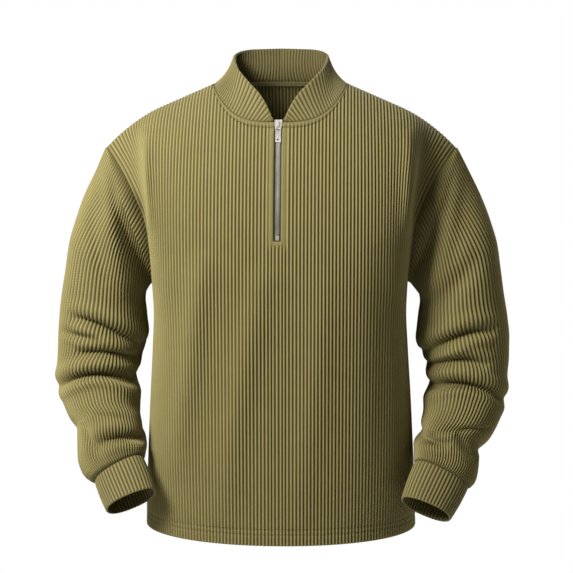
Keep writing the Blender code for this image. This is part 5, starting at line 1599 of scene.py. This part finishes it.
def plain_material(name, colour, roughness, metallic=0.0, grain=1800.0, shade_range=0.2, depth=0.0002):
    """Thread or metal: one colour that varies a little, with a fine grain."""
    nodes = Nodes(bpy.data.materials.new(name))
    place = nodes.coordinate("Object")
    fine = nodes.noise(place, grain, 3.0)
    soft = nodes.noise(place, grain / 12, 2.0)
    between = nodes.math("MULTIPLY", nodes.math("ADD", fine, soft), 0.5)
    dark, light = shaded(colour, 1 - shade_range), shaded(colour, 1 + shade_range)
    nodes.fill(nodes.shader, {
        "Base Color": nodes.mix(between, dark, light),
        "Roughness": nodes.scaled(soft, 2 * ROUGHNESS_RANGE, roughness - ROUGHNESS_RANGE),
        "Metallic": metallic,
        "Normal": nodes.bump(fine, depth, 0.5).outputs["Normal"],
    })
    return nodes.owner


def tape_material(name, colour):
    """Woven tape: a fine herringbone."""
    nodes = Nodes(bpy.data.materials.new(name))
    across, _, up = nodes.split(nodes.coordinate("Object"))
    lean = nodes.math("PINGPONG", across, TAPE_ZIGZAG)
    turn = nodes.math("MULTIPLY", nodes.math("ADD", up, lean), 2 * math.pi / TAPE_PITCH)
    leg = nodes.scaled(nodes.math("SINE", turn), 0.5, 0.5)
    nodes.fill(nodes.shader, {
        "Base Color": nodes.mix(leg, shaded(colour, 0.7), colour),
        "Roughness": 0.85,
        "Normal": nodes.bump(leg, 0.0002, 0.6).outputs["Normal"],
    })
    return nodes.owner


# ---- Stage ------------------------------------------------------------------------------------
def add_object(name, data):
    """A new object in the scene."""
    placed = bpy.data.objects.new(name, data)
    bpy.context.scene.collection.objects.link(placed)
    return placed


def aim_at(placed, place, way):
    """Puts a camera or lamp in its place, looking along a direction."""
    placed.location = place
    placed.rotation_euler = Vector(way).to_track_quat("-Z", "Y").to_euler()


def make_camera():
    """The camera, as far off and as long as the photo's perspective asks."""
    data = bpy.data.cameras.new("camera")
    data.lens = CAMERA_LENS
    data.sensor_width = CAMERA_SENSOR
    data.clip_end = 50.0
    camera = add_object("camera", data)
    aim_at(camera, CAMERA_PLACE, Vector(CAMERA_AIM) - Vector(CAMERA_PLACE))
    bpy.context.scene.camera = camera


def make_lights():
    """The near key light and the distant one from above and behind."""
    key = bpy.data.lights.new("key", "AREA")
    key.shape = "SQUARE"
    key.size = KEY_SIDE
    key.energy = KEY_POWER
    key.color = KEY_COLOUR
    aim_at(add_object("key", key), KEY_PLACE, np.array(KEY_AIM) - np.array(KEY_PLACE))
    back = bpy.data.lights.new("back", "SUN")
    back.angle = math.radians(BACK_SPREAD)
    back.energy = BACK_POWER
    aim_at(add_object("back", back), (0.0, 1.0, 1.0), BACK_WAY)


def make_floor():
    """A pale floor well below the garment."""
    nodes = Nodes(bpy.data.materials.new("floor_paint"))
    nodes.fill(nodes.shader, {"Base Color": (0.93, 0.93, 0.93, 1.0), "Roughness": 0.9})
    corners = [(-1, -1), (1, -1), (1, 1), (-1, 1)]
    data = bpy.data.meshes.new("floor")
    data.from_pydata([(x * FLOOR_HALF, y * FLOOR_HALF, FLOOR_Z) for x, y in corners], [], [(0, 1, 2, 3)])
    data.materials.append(nodes.owner)
    floor = add_object("floor", data)


def make_surround():
    """Light from a white wall behind the garment and from a dimmer room before it, and a plain
    white backdrop on every side."""
    nodes = Nodes(bpy.data.worlds.new("surround"), "Background")
    turn = nodes.add("ShaderNodeMapRange", interpolation_type="SMOOTHSTEP")
    nodes.fill(turn, {"Value": nodes.split(nodes.coordinate("Generated"))["Y"],
                      "From Min": ROOM_TURN_FROM, "From Max": ROOM_TURN_TO})
    room = nodes.mix(turn.outputs["Result"], ROOM_COLOUR, WALL_COLOUR)
    seen = nodes.add("ShaderNodeLightPath").outputs["Is Camera Ray"]
    nodes.fill(nodes.shader, {"Color": nodes.mix(seen, room, SEEN_COLOUR)})
    bpy.context.scene.world = nodes.owner


# ---- The garment ------------------------------------------------------------------------------
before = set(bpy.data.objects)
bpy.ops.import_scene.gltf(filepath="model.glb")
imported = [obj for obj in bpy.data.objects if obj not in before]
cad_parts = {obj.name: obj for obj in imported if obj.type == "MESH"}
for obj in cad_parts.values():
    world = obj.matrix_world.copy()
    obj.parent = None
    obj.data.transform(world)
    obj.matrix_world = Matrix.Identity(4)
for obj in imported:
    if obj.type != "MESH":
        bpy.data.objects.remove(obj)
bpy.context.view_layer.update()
bpy.context.scene.view_settings.view_transform = "Standard"

knit = knit_material("olive_rib_knit", CROWN_COLOUR, GROOVE_SHADE_PAINT, KNIT_STITCH)
trim = knit_material("olive_trim_rib", TRIM_CROWN, TRIM_GROOVE_SHADE_PAINT, TRIM_STITCH)
thread = plain_material("olive_thread", THREAD_COLOUR, 0.7)
tape = tape_material("olive_tape", TAPE_COLOUR)
# Painted light on the neck tape, lighter than the cloth's own colour.
neck_tape = tape_material("olive_neck_tape_painted_light", NECK_TAPE_PAINTED_LIGHT)
steel = plain_material("zip_steel", STEEL_COLOUR, 0.30, 1.0, 900.0, 0.12, 0.00004)
teeth_steel = plain_material("teeth_steel", TEETH_COLOUR, 0.34, 1.0, 900.0, 0.15, 0.00004)

halves = {facing: fine_half(facing) for facing in (-1, 1)}
neck_points, neck_outs, seams = turn_to_seams(halves)
spine = zip_spine(halves)

cloth = {
    "front": make_panel("front_panel", -1, halves, knit),
    "back": make_panel("back_panel", 1, halves, knit),
    "sleeve_right": make_sleeve("right_sleeve", -1, SLEEVE_RIGHT, CREASES_RIGHT, seams, knit),
    "sleeve_left": make_sleeve("left_sleeve", 1, SLEEVE_LEFT, CREASES_LEFT, seams, knit),
    "cuff_right": make_cuff("right_cuff", -1, SLEEVE_RIGHT, CUFF_END_RIGHT, trim),
    "cuff_left": make_cuff("left_cuff", 1, SLEEVE_LEFT, CUFF_END_LEFT, trim),
    "collar": make_collar(neck_points, neck_outs, trim),
}
hardware = {
    "zip_chain": make_teeth(spine, teeth_steel),
    "zip_stop": make_stop(spine, steel),
    "zip_slider": make_slider(spine, steel),
}
tab = make_tab(spine, steel)
sewing = [
    make_sewing("hem_sewing", hem_lines(halves), thread),
    make_sewing("neck_band_sewing", neck_band_lines(halves), thread),
    make_sewing("zip_sewing", zip_lines(halves), thread),
]

for node, piece in cloth.items():
    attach(piece, "garment")
    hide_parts(node)
for node, piece in hardware.items():
    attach(piece, "garment")
    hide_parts(node)
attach(tab, "pull_tab")
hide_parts("pull_tab")
for piece in sewing:
    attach(piece, "garment")
for node, finish in (("neck_tape", neck_tape), ("zip_tape_left", tape), ("zip_tape_right", tape)):
    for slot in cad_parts[node].material_slots:
        slot.material = finish

make_camera()
make_floor()
make_surround()
make_lights()
